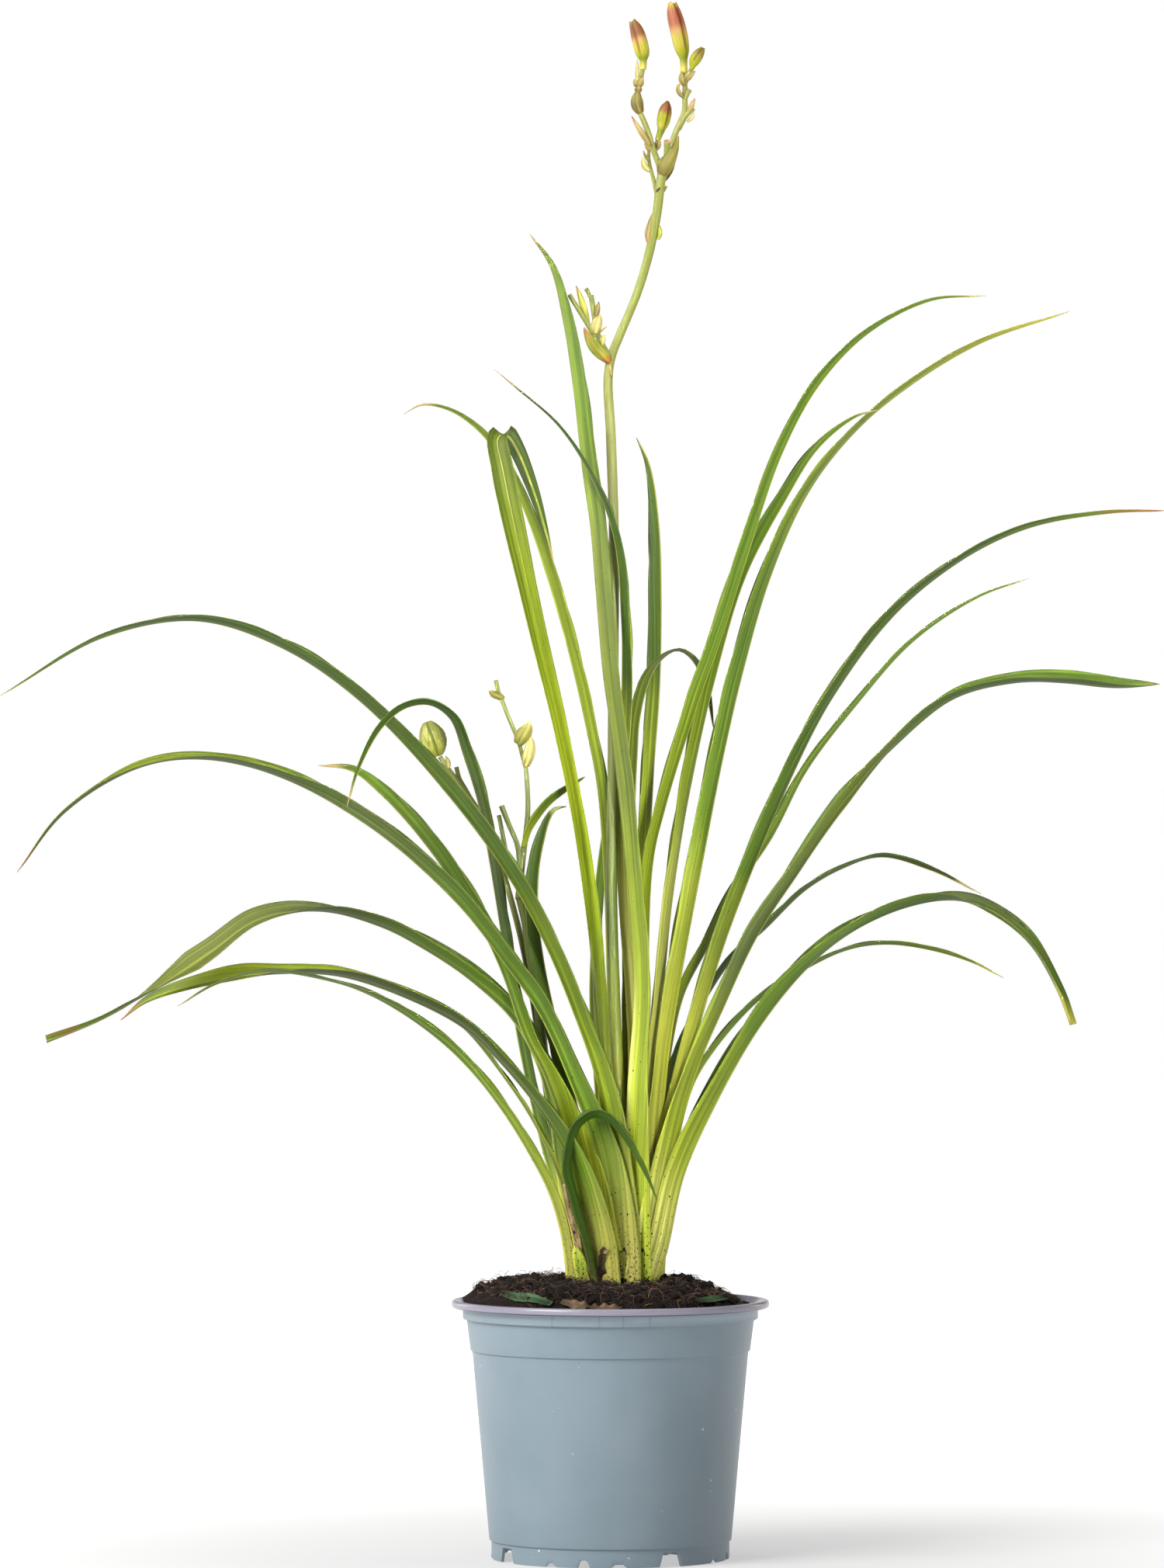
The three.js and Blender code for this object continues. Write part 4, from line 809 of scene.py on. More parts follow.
grow_leaf(
    "leaf_left_bent", LEFT, 8.2,
    upper=(LIME, MID, DEEP, GRASS, MID), under=(PALE, GRASS, DEEP, GREYISH, DEEP, MID),
    line=[(-18, 15, SEAT), (-22, 16, 175), (-35, 21, 221), (-46, 27.9, 271), (-55.3, 27.7, 329),
          (-62, 19, 372), (-68.4, 10, 406), (-76.5, 1, 432), (-84, -8, 450), (-96.7, -17, 457.8),
          (-110.7, -24, 455.4), (-123.3, -30, 444), (-134.2, -36, 422.5), (-140, -40, 402)],
    fold=(40, 44, 50, 50, 50, 50, 48, 40, 64, 52, 50),
)
grow_leaf(
    "leaf_left_wavy", LEFT, 10.5,
    upper=(LIME, GRASS, MID, GREYISH, SAGE, GRASS), under=(PALE, GRASS, GRASS, GREYISH, MOSS, GRASS),
    look={"tip": RUST, "dry": 0.008},
    line=[(-17, 4, SEAT), (-19, 4, 165), (-26, 8, 210), (-29, 13.3, 235), (-35, 16.4, 262),
          (-49, 15.2, 289), (-71.5, 12, 310.7), (-97.5, 8, 328), (-122, 4, 340), (-156, -2, 347.8),
          (-189, -8, 342.4), (-214.6, -14, 324.5), (-247, -20, 303), (-272.3, -26, 288.6),
          (-300, -32, 278)],
    fold=(30, 34, 38, 40, 42, 52, 68, 74, 76, 82, 70),
    turn=(0, 0, 0, 0, 0, 0, 0, 22, 42, -12, -40),
    width_at=lambda t: strap_width(0.84 * t) * (1 - 0.55 * smoothstep(t, 0.82, 0.93)),
    wave=0.9, waves=4,
)
grow_leaf(
    "leaf_left_dark", LEFT, 10.2, slot="dark_leaf",
    upper=(LIME, MID, GRASS, FRESH, LIME, MID), under=(HUSK, GRASS, GREYISH, GREYISH, SLATE, GREYISH),
    look={"tip": RUST, "dry": 0.02},
    line=[(-8.6, -7, SEAT), (-10, -8, 172), (-16.5, -10, 202), (-26, -11, 226), (-38, -12, 244),
          (-58, -13, 268), (-76.3, -13, 285.4), (-101.6, -12, 299.4), (-144, -9, 313.4), (-186, -6, 313.7),
          (-215, -3, 309.2), (-247.4, 1, 298.8), (-262.4, 3, 287.5)],
    fold=(40, 48, 58, 62, 62, 57, 60, 66, 68, 68, 60),
    turn=(0, 0, 0, 0, 0, 0, 0, 4, 30, 42, 40),
    flare=2.3,
)
grow_leaf(
    "leaf_left_narrow", LEFT, 4.8, slot="young_leaf",
    upper=(LIME, FRESH, FRESH, MID), under=(PALE, LIME, GRASS, MID),
    line=[(-15.2, -7, SEAT), (-17.4, -7, 172), (-21.5, -7, 190), (-31, -5, 215), (-43, -3, 238),
          (-60.4, -1, 263), (-76, 0, 282), (-90, 1, 293), (-110, 1, 303), (-138, 0, 312)],
    fold=(48, 60, 66, 70, 66, 60),
    flare=0.1, fleshy=0.8,
)
grow_leaf(
    "leaf_left_lowest", LEFT, 7.8, slot="young_leaf",
    upper=(LIME, FRESH, GRASS, GREYISH, GRASS), under=(HUSK, FRESH, GRASS, MID, GRASS),
    line=[(-20.6, -7, SEAT), (-23.5, -8, 172), (-30.5, -11, 196), (-42.8, -14, 220), (-58.8, -17, 245),
          (-75, -20, 265), (-91.2, -23, 280.4), (-118, -26, 298.2), (-143.2, -28, 308.3), (-183, -32, 315),
          (-210, -35, 308), (-230, -38, 296)],
    fold=(34, 42, 50, 56, 58, 55, 64, 80, 74, 72, 72),
    flare=0.15, fleshy=1.2,
)
grow_leaf(
    "leaf_left_hooked", RIGHT, 8.6,
    upper=(LIME, MID, GREYISH, DEEP), under=(PALE, GRASS, MOSS, MOSS), look={"tip": SAGE, "dry": 0.01},
    line=[(-6, 15, SEAT), (-12, 18, 200), (-26, 20, 260), (-35, 14, 298), (-38.5, 12, 315), (-42, 11, 340),
          (-42.4, 11, 358), (-41, 11, 372), (-37.7, 11, 385.5), (-34.2, 11, 395), (-30, 11, 400.7),
          (-23.5, 11, 402)],
    fold=(30, 32, 34, 36, 38, 40, 40, 34, 28, 28),
    taper=5, flare=1.7,
)

# Middle leaves.
grow_leaf(
    "leaf_tall", LEFT, 9.8, slot="young_leaf",
    upper=(PALE, LIME, FRESH, GRASS, GRASS), under=(LIME, LIME, FRESH, OLIVE, OLIVE, GRASS, MID),
    look={"dirty": 0.8, "rib": CREAM, "rib_width": 4, "rib_shares": (0.45, 0.06)},
    line=[(10.5, -10, SEAT), (11, -12, 200), (13.6, -13.8, 250), (17, -13.8, 300), (14, -13.8, 351),
          (11, -12.8, 385), (4.4, -8.6, 444), (0.3, -6, 474), (-3.5, -2, 520), (-6.2, 1, 552),
          (-10.9, 3, 584), (-16.1, 5, 627), (-22.5, 5, 663), (-31, 4, 692), (-43.5, 2, 709)],
    fold=(30, 32, 34, 34, 34, 34, 32, 28, 30, 28, 26),
    width_at=lambda t: strap_width(t, 5) * (1 + 0.28 * np.exp(-((t - 0.18) / 0.1) ** 2)), flare=1.5,
)
# Its underside's third cream stop is painted light, paler than the leaf, for the shade it stands in.
grow_leaf(
    "leaf_tall_thin_tip", LEFT, 7.6, slot="young_leaf",
    upper=(CREAM, CREAM, PALE, LIME, MOSS, MOSS), under=(CREAM, CREAM, CREAM, LIME, MOSS, DEEP, DEEP),
    line=[(7, 12, SEAT), (10.4, 13, 200), (12.8, 14, 266), (11.4, 14, 300), (6.4, 12.2, 376), (7, 9.5, 424),
          (9, 3, 470), (8.6, -1.4, 500), (3.5, -7, 547), (-9, -9, 578), (-28, -15, 606), (-51, -19, 626),
          (-62, -22, 635)],
    fold=(30, 32, 34, 36, 38, 40, 44, 48, 58, 76, 72),
)
grow_leaf(
    "leaf_folded", BACK, 8, slot="young_leaf",
    upper=(PALE, FRESH, FRESH, LIME, FRESH, OLIVE, MID), under=(PALE, LIME, FRESH, GRASS, GREYISH, DEEP),
    line=[(1.5, 1, SEAT), (-2, 0, 220), (-9, -1, 330), (-15.6, -2, 386), (-26.8, -3, 445), (-38.2, -4, 493),
          (-49, -4, 541), (-58, -3, 584), (-60.6, 0, 599), (-57, 5, 603), (-50.5, 8.5, 594),
          (-41.5, 10, 572), (-35, 10, 550.5), (-30.2, 8, 532)],
    fold=(30, 32, 34, 32, 28, 26, 32, 40, 60, 50, 50),
    turn=(90, 90, 75, 40, 12, 0, 0, 0, 0, 0, 0),
    taper=4.5, flare=4,
)
grow_leaf(
    "leaf_tall_back", LEFT, 7,
    upper=(PALE, LIME, LIME, FRESH, GRASS), under=(PALE, LIME, FRESH, FRESH, MOSS),
    line=[(2.5, 12, SEAT), (2.2, 15, 260), (-3.2, 18.6, 405), (-10.1, 18.2, 444.7), (-20, 17, 487.6),
          (-30.7, 16, 524.5), (-43, 16, 559.5), (-61, 15, 595), (-83, 16, 614), (-101, 18, 618),
          (-111, 20, 613)],
    fold=(30, 32, 34, 36, 38, 38, 38, 32, 34, 44, 60),
    taper=4,
)
grow_leaf(
    "leaf_inner_low", LEFT, 7.2,
    upper=(PALE, GRASS, MID, GRASS), under=(PALE, LIME, GRASS, GRASS),
    line=[(1, 23, SEAT), (-3, 24, 220), (-8, 26, 293), (-8, 27, 315), (-5, 28, 367), (-2, 28, 393),
          (1.5, 28, 418)],
    fold=(30, 34, 36, 42, 44, 46),
)
grow_leaf(
    "leaf_upright", RIGHT, 8.6,
    upper=(PALE, FRESH, GRASS, MID, MID), under=(CREAM, PALE, LIME, MOSS, MOSS),
    line=[(13, 23, SEAT), (14.3, 24.5, 300), (16.5, 27, 350), (18.4, 31, 390), (20.2, 34, 425),
          (23, 34, 465), (24, 34, 518), (23.4, 34, 555), (20, 34, 586), (14, 34, 601)],
    fold=(30, 32, 34, 36, 40, 38, 32, 26, 30),
    taper=5,
)
grow_leaf(
    "leaf_hooked", RIGHT, 7.6,
    upper=(PALE, GRASS, MID, MID, DEEP), under=(PALE, PALE, GRASS, OLIVE, GREYISH),
    line=[(9, 23, SEAT), (9.5, 24.5, 300), (10.2, 24.5, 397), (11.5, 22, 430), (13, 20.5, 450),
          (18.5, 20, 470), (27, 20, 482), (37, 20, 486.4), (45.2, 20.6, 481.4), (52, 21.4, 467),
          (56, 22, 442)],
    fold=(30, 31, 32, 33, 34, 36, 38, 40, 42, 42, 40, 38, 38, 80, 34, 44),
    taper=4.5,
)

# Right-hand leaves, from the left one over to the lowest.
grow_leaf(
    "leaf_right_first", RIGHT, 9,
    upper=(PALE, FRESH, FRESH, GRASS, GRASS), under=(CREAM, LIME, FRESH, GRASS, GRASS, GRASS),
    line=[(16, 1, SEAT), (17, 0.6, 260), (19.5, 0.4, 369), (26.5, -0.8, 402), (43.5, -1.3, 458),
          (56, -2.4, 493), (71, -4.4, 539), (89.3, -6.4, 591.3), (109.4, -10, 627.6), (136, -15, 655),
          (170, -20, 672), (200, -24, 674)],
    fold=(30, 34, 40, 48, 54, 44, 40, 50, 54, 60, 66),
)
grow_leaf(
    "leaf_right_second", RIGHT, 9.8,
    upper=(PALE, FRESH, FRESH, MID, MOSS), under=(CREAM, CREAM, FRESH, MID, GRASS),
    line=[(18.6, 12, SEAT), (20.8, 12, 249), (25.4, 11, 300), (31, 12, 355), (40.8, 12.4, 416.7),
          (51.5, 10.4, 467), (69.3, 9, 527), (91.8, 6, 568.3), (109.4, 2, 594.2), (130.4, -4, 610.4),
          (143, -9, 614)],
    fold=(34, 42, 52, 58, 59, 57, 46, 40, 40, 48, 66),
    taper=4.5,
)
grow_leaf(
    "leaf_right_third", RIGHT, 10.4, slot="young_leaf",
    upper=(PALE, LIME, FRESH, FRESH, LIME, YELLOW), under=(CREAM, PALE, GRASS, MID, FRESH, YELLOW),
    look={"tip": YELLOW, "dry": 0.05},
    line=[(20, 1, SEAT), (26.8, 2, 262), (34, 3, 313), (45.7, 3, 376), (57.1, 4, 432.7), (67.4, 5, 475.7),
          (81.8, 8, 523.7), (102.2, 12, 568.2), (124, 15, 597.5), (156.2, 21, 626.3), (197.5, 28, 651.8),
          (248, 34, 669)],
    fold=(30, 32, 34, 35, 36, 40, 46, 60, 73, 60, 60),
)
grow_leaf(
    "leaf_right_fourth", RIGHT, 9.4,
    upper=(PALE, FRESH, GRASS, GREYISH, GRASS), under=(CREAM, PALE, MID, MOSS, MOSS, GRASS),
    look={"tip": RUST, "dry": 0.05},
    line=[(24, 1, SEAT), (27, 1, 200), (34, 1, 245), (45, 0, 289), (57.5, -2, 330), (72, -5, 368.3),
          (91.9, -8, 414.7), (115.3, -14, 459.8), (150, -20, 506), (187, -27, 535), (222, -33, 551.4),
          (263, -39, 558.4), (296, -44, 559)],
    fold=(30, 32, 34, 36, 38, 46, 57, 58, 68, 62, 56),
)
grow_leaf(
    "leaf_right_spoon", RIGHT, 9.8,
    upper=(PALE, LIME, GRASS, GRASS, GRASS, GRASS), under=(CREAM, LIME, GREYISH, OLIVE, MOSS, MOSS),
    line=[(18, -10, SEAT), (24, -11, 180), (31, -12, 217), (43, -13, 262), (58, -15, 298), (75, -17, 334),
          (96, -18, 366), (123, -19, 405), (149, -21, 434), (180.6, -25, 460.7), (213, -29, 469.8),
          (242, -32, 470.2), (271, -34, 467), (292, -36, 467)],
    fold=(30, 32, 34, 36, 39, 42, 45, 50, 50, 42, 72, 64, 64, 62, 50, 54),
    turn=(0, 0, 0, 0, 0, 0, 0, 0, 0, 20, 30),
    width_at=lambda t: strap_width(np.where(t < 0.9, 0.75 * t, 0.675 + 3.25 * (t - 0.9))),
    wave=0.9, waves=4, flare=1.5,
)
grow_leaf(
    "leaf_right_low_arch", RIGHT, 11,
    upper=(PALE, GRASS, GRASS, GREYISH, GRASS), under=(CREAM, LIME, GRASS, MID, MOSS, FRESH),
    look={"tip": YELLOW, "dry": 0.03},
    line=[(21.4, -10, SEAT), (27, -10, 168), (36, -9, 207), (54, -7, 247.5), (74.8, -4, 283.5),
          (99, -2, 314), (126, -1, 336), (157, -1, 350), (183, -4, 354), (202, -8, 348), (223, -14, 332),
          (239, -21, 305), (246, -24, 286)],
    fold=(30, 32, 33, 35, 37, 41, 45, 46, 56, 62, 65, 66, 79, 72, 68, 60),
    turn=(0, 0, 0, 0, 0, 0, 0, 0, 15, 20, 20),
    width_at=lambda t: strap_width(0.92 * t),
    wave=0.9, waves=4,
)
grow_leaf(
    "leaf_right_behind_low", RIGHT, 6.8,
    upper=(PALE, FRESH, MID, MID), under=(PALE, GRASS, MOSS, MOSS, SLATE),
    line=[(22.4, 23, SEAT), (26, 21.5, 200), (32.5, 20, 258), (40, 18, 280), (63, 15, 319), (83, 12, 338),
          (104, 11, 358), (124, 10, 369.5), (146, 9, 376), (172, 9, 369), (199, 10, 355)],
    fold=(30, 32, 38, 50, 60, 62, 64, 69, 75, 46, 56),
)
grow_leaf(
    "leaf_right_behind_high", RIGHT, 6.4,
    upper=(PALE, MID, MOSS, GRASS), under=(PALE, FRESH, GRASS, GRASS),
    line=[(18, 23, SEAT), (19.6, 25.6, 200), (27.5, 29, 252), (37, 27, 300), (51, 24, 328), (65, 21, 356),
          (85, 17, 386), (104, 17, 422), (131, 19, 457), (163, 24, 492), (198, 30, 515), (226, 35, 525)],
    fold=(30, 34, 38, 42, 46, 50, 52, 60, 66, 64, 68),
)
grow_leaf(
    "leaf_right_lowest", RIGHT, 5.8, slot="young_leaf",
    upper=(PALE, OLIVE, GRASS, FRESH), under=(CREAM, LIME, GRASS, MID, FRESH),
    look={"tip": YELLOW, "dry": 0.05},
    line=[(26.4, 23, SEAT), (31, 22, 200), (42, 20, 250), (54, 18, 271), (78, 16, 298), (100, 15, 313),
          (127.6, 14, 326), (148, 13, 329), (172, 12, 326), (194, 11, 319), (211, 10, 310)],
    fold=(32, 38, 44, 50, 56, 60, 66, 73, 66, 54, 62),
)

# Short leaves in front of the fans: one curls over to the right, one is a pale pointed sheath.
grow_leaf(
    "leaf_front_curled", RIGHT, 6, slot="dark_leaf",
    upper=(MID, VIVID, VIVID, VIVID), under=(OLIVE, VIVID, VIVID, VIVID, GRASS),
    look={"dry": 0.005, "tip": GRASS, "rib": VIVID, "foot_painted_light": 1},
    line=[(-8, -17, SEAT), (-9.5, -17.5, 155), (-13, -18, 170), (-17, -19, 184), (-21, -20, 198),
          (-23.5, -21.5, 210), (-22, -23, 222), (-17, -25.5, 234), (-8, -28, 239), (0, -30, 236),
          (10, -33, 224), (20, -35, 205), (24.7, -36, 193)],
    fold=(34, 36, 36, 38, 44, 50, 56),
    flare=0, fleshy=0.4,
)
grow_leaf(
    "leaf_front_sheath", LEFT, 4, slot="young_leaf",
    upper=(HUSK, FRESH, FRESH), under=(STRAW, FRESH, LIME), look={"dirty": 0.8},
    line=[(-14.4, -16.4, SEAT), (-15.6, -16.6, 152), (-19, -17.4, 168)],
    fold=(34, 40),
)

# Withered pieces at the foot of the fans: a thin standing sheath and a short curled stub, dry and papery.
SHEATH_BROWNS = ("#7A6044", "#CDAA80", "#D0AC88", "#B08A6C")
STUB_BROWNS = ("#2A1E12", "#32261A", "#3E2E1E", "#7A6248", "#C8A882")
for node, half_width, browns, form in (
    ("dried_sheath", 2.1, SHEATH_BROWNS, {
        "line": [(-16, -12, SEAT), (-17.7, -16, 169.6), (-22.2, -16, 186.1), (-25, -15, 200.5)],
        "fold": (76,), "turn": (84, 96, 80, 100), "width_at": lambda t: 1 - 0.7 * t ** 3}),
    ("dried_stub", 3.3, STUB_BROWNS, {
        "line": [(-4.4, -15.6, SEAT), (-5.2, -17.4, 153), (-5.2, -19, 161), (-4, -21, 166.5),
                 (-1.8, -22, 165)],
        "fold": (56,), "turn": (60, 80, 40), "width_at": lambda t: 1 - 0.35 * t}),
):
    grow_leaf(node, LEFT, half_width, upper=browns, under=browns, slot="dry_leaf", spacing=1.2, fleshy=0,
              flare=0, thickness=(0.5, 0.3), wave=0.9, waves=4,
              look={"rib": browns[1], "tip": browns[-1], "dirty": 1, "foot_painted_light": 1}, **form)

# ---- Flower stems ------------------------------------------------------------------------------------
# Three round fleshy stems. The first still flowers and forks at its top, the other two were cut. They're
# smooth and waxy, with faint ribs, and their cut ends have dried to a pale brown pith.

STEM_SIDES = 20
STEM_SPACING = 2.2
CUT_RINGS = ((0.97, 0.1), (0.86, 0.25), (0.6, 0.0), (0.25, -0.35))
CUT, JOINED = True, False
SCAR = "#4A3A26"
PITH = "#A07A58"
STEM_BASE = "#5C5A30"
STEM_SHADED = "#63742E"
STEM_GREEN = "#727A3E"
STEM_LIT = "#858946"
STEM_YELLOW = "#7E8434"
STEM_PALE = "#929048"
# A pale stem foot, painted light for the shade among the leaves.
STEM_FOOT_PAINTED_LIGHT = "#C0C850"
PURPLISH = "#5C4A3E"
STREAK_STOPS = [(0.3, "#C4C8B0"), (0.55, "#E8EADC"), (0.75, "#FFFFF6")]


def carried_sides(way):
    """For each direction one at a right angle to it, carried along without turning round the line."""
    sides = []
    side = np.array([0, 1.0, 0])
    for direction in way:
        side = side - direction * (side @ direction)
        side = side / np.linalg.norm(side)
        sides.append(side)
    return np.array(sides)


def stem_tube(line, radius, end=CUT):
    """Points, ring count, grain and share of a stem or branch. A cut end gets a slightly hollow face, whose
    points have a share of 1 in Z."""
    middle, way, gone = smooth_line(upright(line), STEM_SPACING)
    side = carried_sides(way)
    front = np.cross(way, side)
    uneven = np.array([noise.noise(Vector((g / 9, line[0][0], 2))) for g in gone])
    sizes = along(radius, gone / gone[-1]) * (1 + 0.025 * uneven)
    rings = [(k, sizes[k], 0, 0) for k in range(len(gone))]
    if end == CUT:
        rings += [(-1, sizes[-1] * shrink, rise, 1) for shrink, rise in CUT_RINGS]
    points, grain, share = [], [], []
    for k, r, rise, face in rings:
        for corner in range(STEM_SIDES):
            turn = 2 * math.pi * corner / STEM_SIDES
            ribbed = r * (1 + 0.022 * math.cos(5 * turn + 0.004 * gone[k]))
            x, y = ribbed * math.cos(turn), ribbed * math.sin(turn)
            points.append(middle[k] + way[k] * rise + side[k] * x + front[k] * y)
            grain.append((r * math.cos(turn), r * math.sin(turn), gone[k]))
            share.append((r, 0, face))
    return points, len(rings), grain, share


def stem_mesh(name, tubes):
    """A stem and its branches in one mesh. Its attribute share is a point's radius, how high it stands on
    the stem, and 1 on a cut face."""
    points, faces, grain, share = [], [], [], []
    for tube in tubes:
        more, rings, more_grain, more_share = stem_tube(*tube)
        faces += tube_faces(rings, STEM_SIDES, len(points))
        points += more
        grain += more_grain
        share += more_share
    mesh = mesh_from(name, points, faces)
    heights = np.array(points)[:, 2] - SEAT
    share = np.array(share)
    share[:, 1] = heights / heights.max()
    add_attribute(mesh, "grain", grain)
    add_attribute(mesh, "share", share)
    return mesh


def stem_skin(name, colours):
    """Waxy living stem: IOR 1.42, faint streaks along it, small dark scars, and pale brown dried pith."""
    material, add = new_material(name)
    grain = add("Attribute", attribute_name="grain").outputs["Vector"]
    share = add("Attribute", attribute_name="share").outputs["Vector"]
    share = add("SeparateXYZ", (share,)).outputs
    streaks = stretched_noise(add, grain, (0.8, 0.8, 0.03), 4)
    skin = add("ValToRGB", (share["Y"],), stops=even_stops(colours))
    streaked = add("ValToRGB", (streaks,), stops=STREAK_STOPS)
    skin = add("Mix", (0.8, skin, streaked), data_type="RGBA", blend_type="MULTIPLY")
    scars = stretched_noise(add, grain, (0.5, 0.5, 0.22), 3)
    scars = add("MapRange", (scars, 0.72, 0.76, 0, 0.5))
    for spread, colour in ((scars, SCAR), (share["Z"], PITH)):
        skin = add("Mix", (spread, skin, colour), data_type="RGBA")
    relief = add("Bump", {"Height": streaks, "Distance": 0.2 * MM, "Strength": 0.6})
    shader = add("BsdfPrincipled", {"Base Color": skin, "Roughness": 0.45, "IOR": 1.42, "Normal": relief})
    add("OutputMaterial", (shader,))
    return material


# For each stem its colours from foot to top, and its tubes: a line, the radius along it and how it ends.
# The main stem's foot is painted light for the shade among the leaves, and the shaded and lit stops are
# painted shade and light up each stem.
STEMS = {
    "flower_stem_main": ((STEM_FOOT_PAINTED_LIGHT, STEM_FOOT_PAINTED_LIGHT, STEM_SHADED, STEM_GREEN, STEM_GREEN, STEM_LIT, STEM_YELLOW,
                          STEM_PALE), [
        ([(9, 1, SEAT), (6.5, 2, 200), (4.8, 3, 244), (2.3, 4, 300), (0.8, 5, 350), (1.2, 6, 418),
          (1.6, 8, 480), (1.9, 9, 543), (0.2, 10, 601), (-1.2, 10, 632), (0.8, 10, 644), (5.6, 9, 656),
          (14.3, 7, 677), (20.6, 5, 698), (24.8, 3, 719), (27.2, 2, 738), (28.4, 2.5, 741.4)],
         (3.3, 3.1, 3, 2.9, 2.8, 2.75, 2.7, 2.25, 2.6), JOINED),
        ([(0, 10, 643), (-2.7, 9, 646.4), (-6, 8.6, 653), (-7.7, 8.4, 657.2)], (1.9, 1.7, 1.6), JOINED),
        ([(-7.7, 8.4, 653.8), (-9.8, 8, 656.7), (-14.4, 6.5, 664.1), (-18.9, 5.6, 671.2),
          (-21.9, 5, 676.1)], (1.5, 1.35, 1.2)),
        ([(-6.9, 8.6, 655.5), (-7.9, 9.2, 660.5), (-9.2, 10.2, 668.9), (-10.4, 11, 676)], (1.5, 1.4, 1.5)),
        ([(-11, 11, 675.5), (-12.1, 10.6, 678.1), (-13.1, 10.6, 679.6)], (1, 1.2)),
        ([(21.5, 4.5, 705), (24.6, 5, 707.6), (25.8, 5, 710)], (1.3, 0.9)),
        ([(27, 3, 730.4), (28.9, 2.8, 732.4), (29.9, 2.8, 734.4)], (1, 0.8)),
        ([(29, 2.4, 743), (29.9, 0.6, 749), (30.2, -0.6, 753.6), (30.4, -3.2, 757.8)],
         (1.5, 1.4, 1.6, 1.9)),
        ([(24.9, 5.4, 730), (23.1, 5.6, 737.8), (21.4, 6, 744.4), (20.6, 6, 749), (20.6, 6, 754)],
         (1.2, 1.1, 0.9)),
        ([(26.8, 2, 735), (26.4, 3.6, 744.7), (24.7, 4, 749.3), (22.2, 4, 756.3), (20.4, 4, 762.6),
          (17.7, 4, 769.6), (15.6, 4, 774.2), (14.5, 4.2, 780), (15, 4.4, 786), (15.8, 4.5, 790),
          (16.8, 4.5, 794.2), (17.4, 4.5, 797.4)], (1.8, 1.65, 1.6, 1.5, 1.3, 1.3), JOINED),
        ([(21.6, 4.4, 757), (23.2, 6.4, 756.4), (24.8, 7.6, 757.4), (25.6, 7.8, 760)],
         (1.2, 1.1, 1.2), JOINED),
        ([(27, 2.6, 737), (29.8, 6.5, 743), (31.8, 7, 751.2), (33.9, 7, 760.1), (36.8, 7.4, 767.4),
          (39.7, 7.8, 774.5), (40, 8, 781.3), (40, 8, 788.2), (39.5, 8, 795.4)],
         (1.8, 1.7, 1.65, 1.5, 1.4), JOINED),
        ([(36.6, 7.4, 765), (38.9, 6.4, 769.4), (40.6, 5.8, 772.3), (44.5, 5, 776)], (1.4, 1.3)),
        ([(39.6, 7.8, 779.4), (41.2, 6.6, 783.5), (42.6, 6, 786)], (1.1, 1.2)),
        ([(39.8, 7.6, 788), (41.4, 6.4, 793), (43.4, 5.4, 797.2)], (1.2, 1.2), JOINED),
    ]),
    "flower_stem_second": ((PURPLISH, STEM_BASE, STEM_SHADED, STEM_GREEN, STEM_GREEN, STEM_LIT), [
        ([(-10, 21, SEAT), (-13, 23, 165), (-24, 26, 215), (-34.5, 27.4, 259), (-40, 27, 307),
          (-43, 25, 322), (-45.5, 24, 339), (-49, 22, 354)], (2.7, 2.8, 2.8, 2.2), JOINED),
        ([(-49, 22, 352), (-48.4, 22, 362), (-47.2, 22, 373), (-45.2, 22, 389), (-44.3, 22, 401),
          (-44.7, 22, 413), (-45.7, 22, 423.6), (-47.4, 22, 429.5), (-48.8, 21.6, 434.9),
          (-50.9, 21, 440.7), (-54.9, 20.4, 450.3), (-58.5, 20, 459.5), (-60, 20, 462.8),
          (-61.5, 20, 469.6)], (2.2, 1.7, 1.45, 1.3, 1.15, 1.1, 1.2)),
        ([(-48.2, 22, 365), (-50, 21, 381), (-54.5, 19, 392), (-58.4, 17, 402)], (1.7, 1.3, 1.5)),
        ([(-48.6, 22, 358), (-55, 25, 372), (-57.6, 26, 385), (-60, 27, 397)], (1.4, 1.2)),
    ]),
    "flower_stem_third": ((STEM_SHADED, STEM_GREEN, STEM_LIT), [
        ([(-20, 26, SEAT), (-30, 34.5, 220), (-48, 38, 330), (-67, 37, 392), (-74, 36, 404), (-82, 34, 415),
          (-88, 33, 423), (-91.9, 31.9, 428.6)], (2.4, 2.2, 1.9, 1.6, 1.3), JOINED),
        ([(-73, 36, 402), (-78, 36, 411), (-81.4, 36, 417), (-83, 36, 423)], (1.3, 1.2)),
    ]),
}
for node, (colours, tubes) in STEMS.items():
    add_piece(node + "_tubes", stem_mesh(node, tubes), stem_skin(node + "_skin", colours), node)

# ---- Bracts ------------------------------------------------------------------------------------------
# Small boat-shaped scale leaves that clasp the stems at their nodes. Some are still fresh, one has blushed
# orange, and the others have dried to thin crumpled paper.

PAPER = "#B29E60"
PAPER_PALE = "#D0BE86"
KHAKI = "#A09648"
BUFF = "#86723D"
BLUSH = "#A8602E"
PEACH_PAPER = "#BC8464"


def boat(t):
    """A bract's width: it clasps the stem, swells, and runs out to a point."""
    return 0.45 + 1.5 * t - 1.9 * t ** 2


def fork_boat(t):
    """The width of the big bract at the fork, which is broadest near its foot."""
    return np.interp(t, (0, 0.12, 0.25, 0.5, 0.72, 1), (0.66, 0.92, 1, 0.68, 0.42, 0.04))


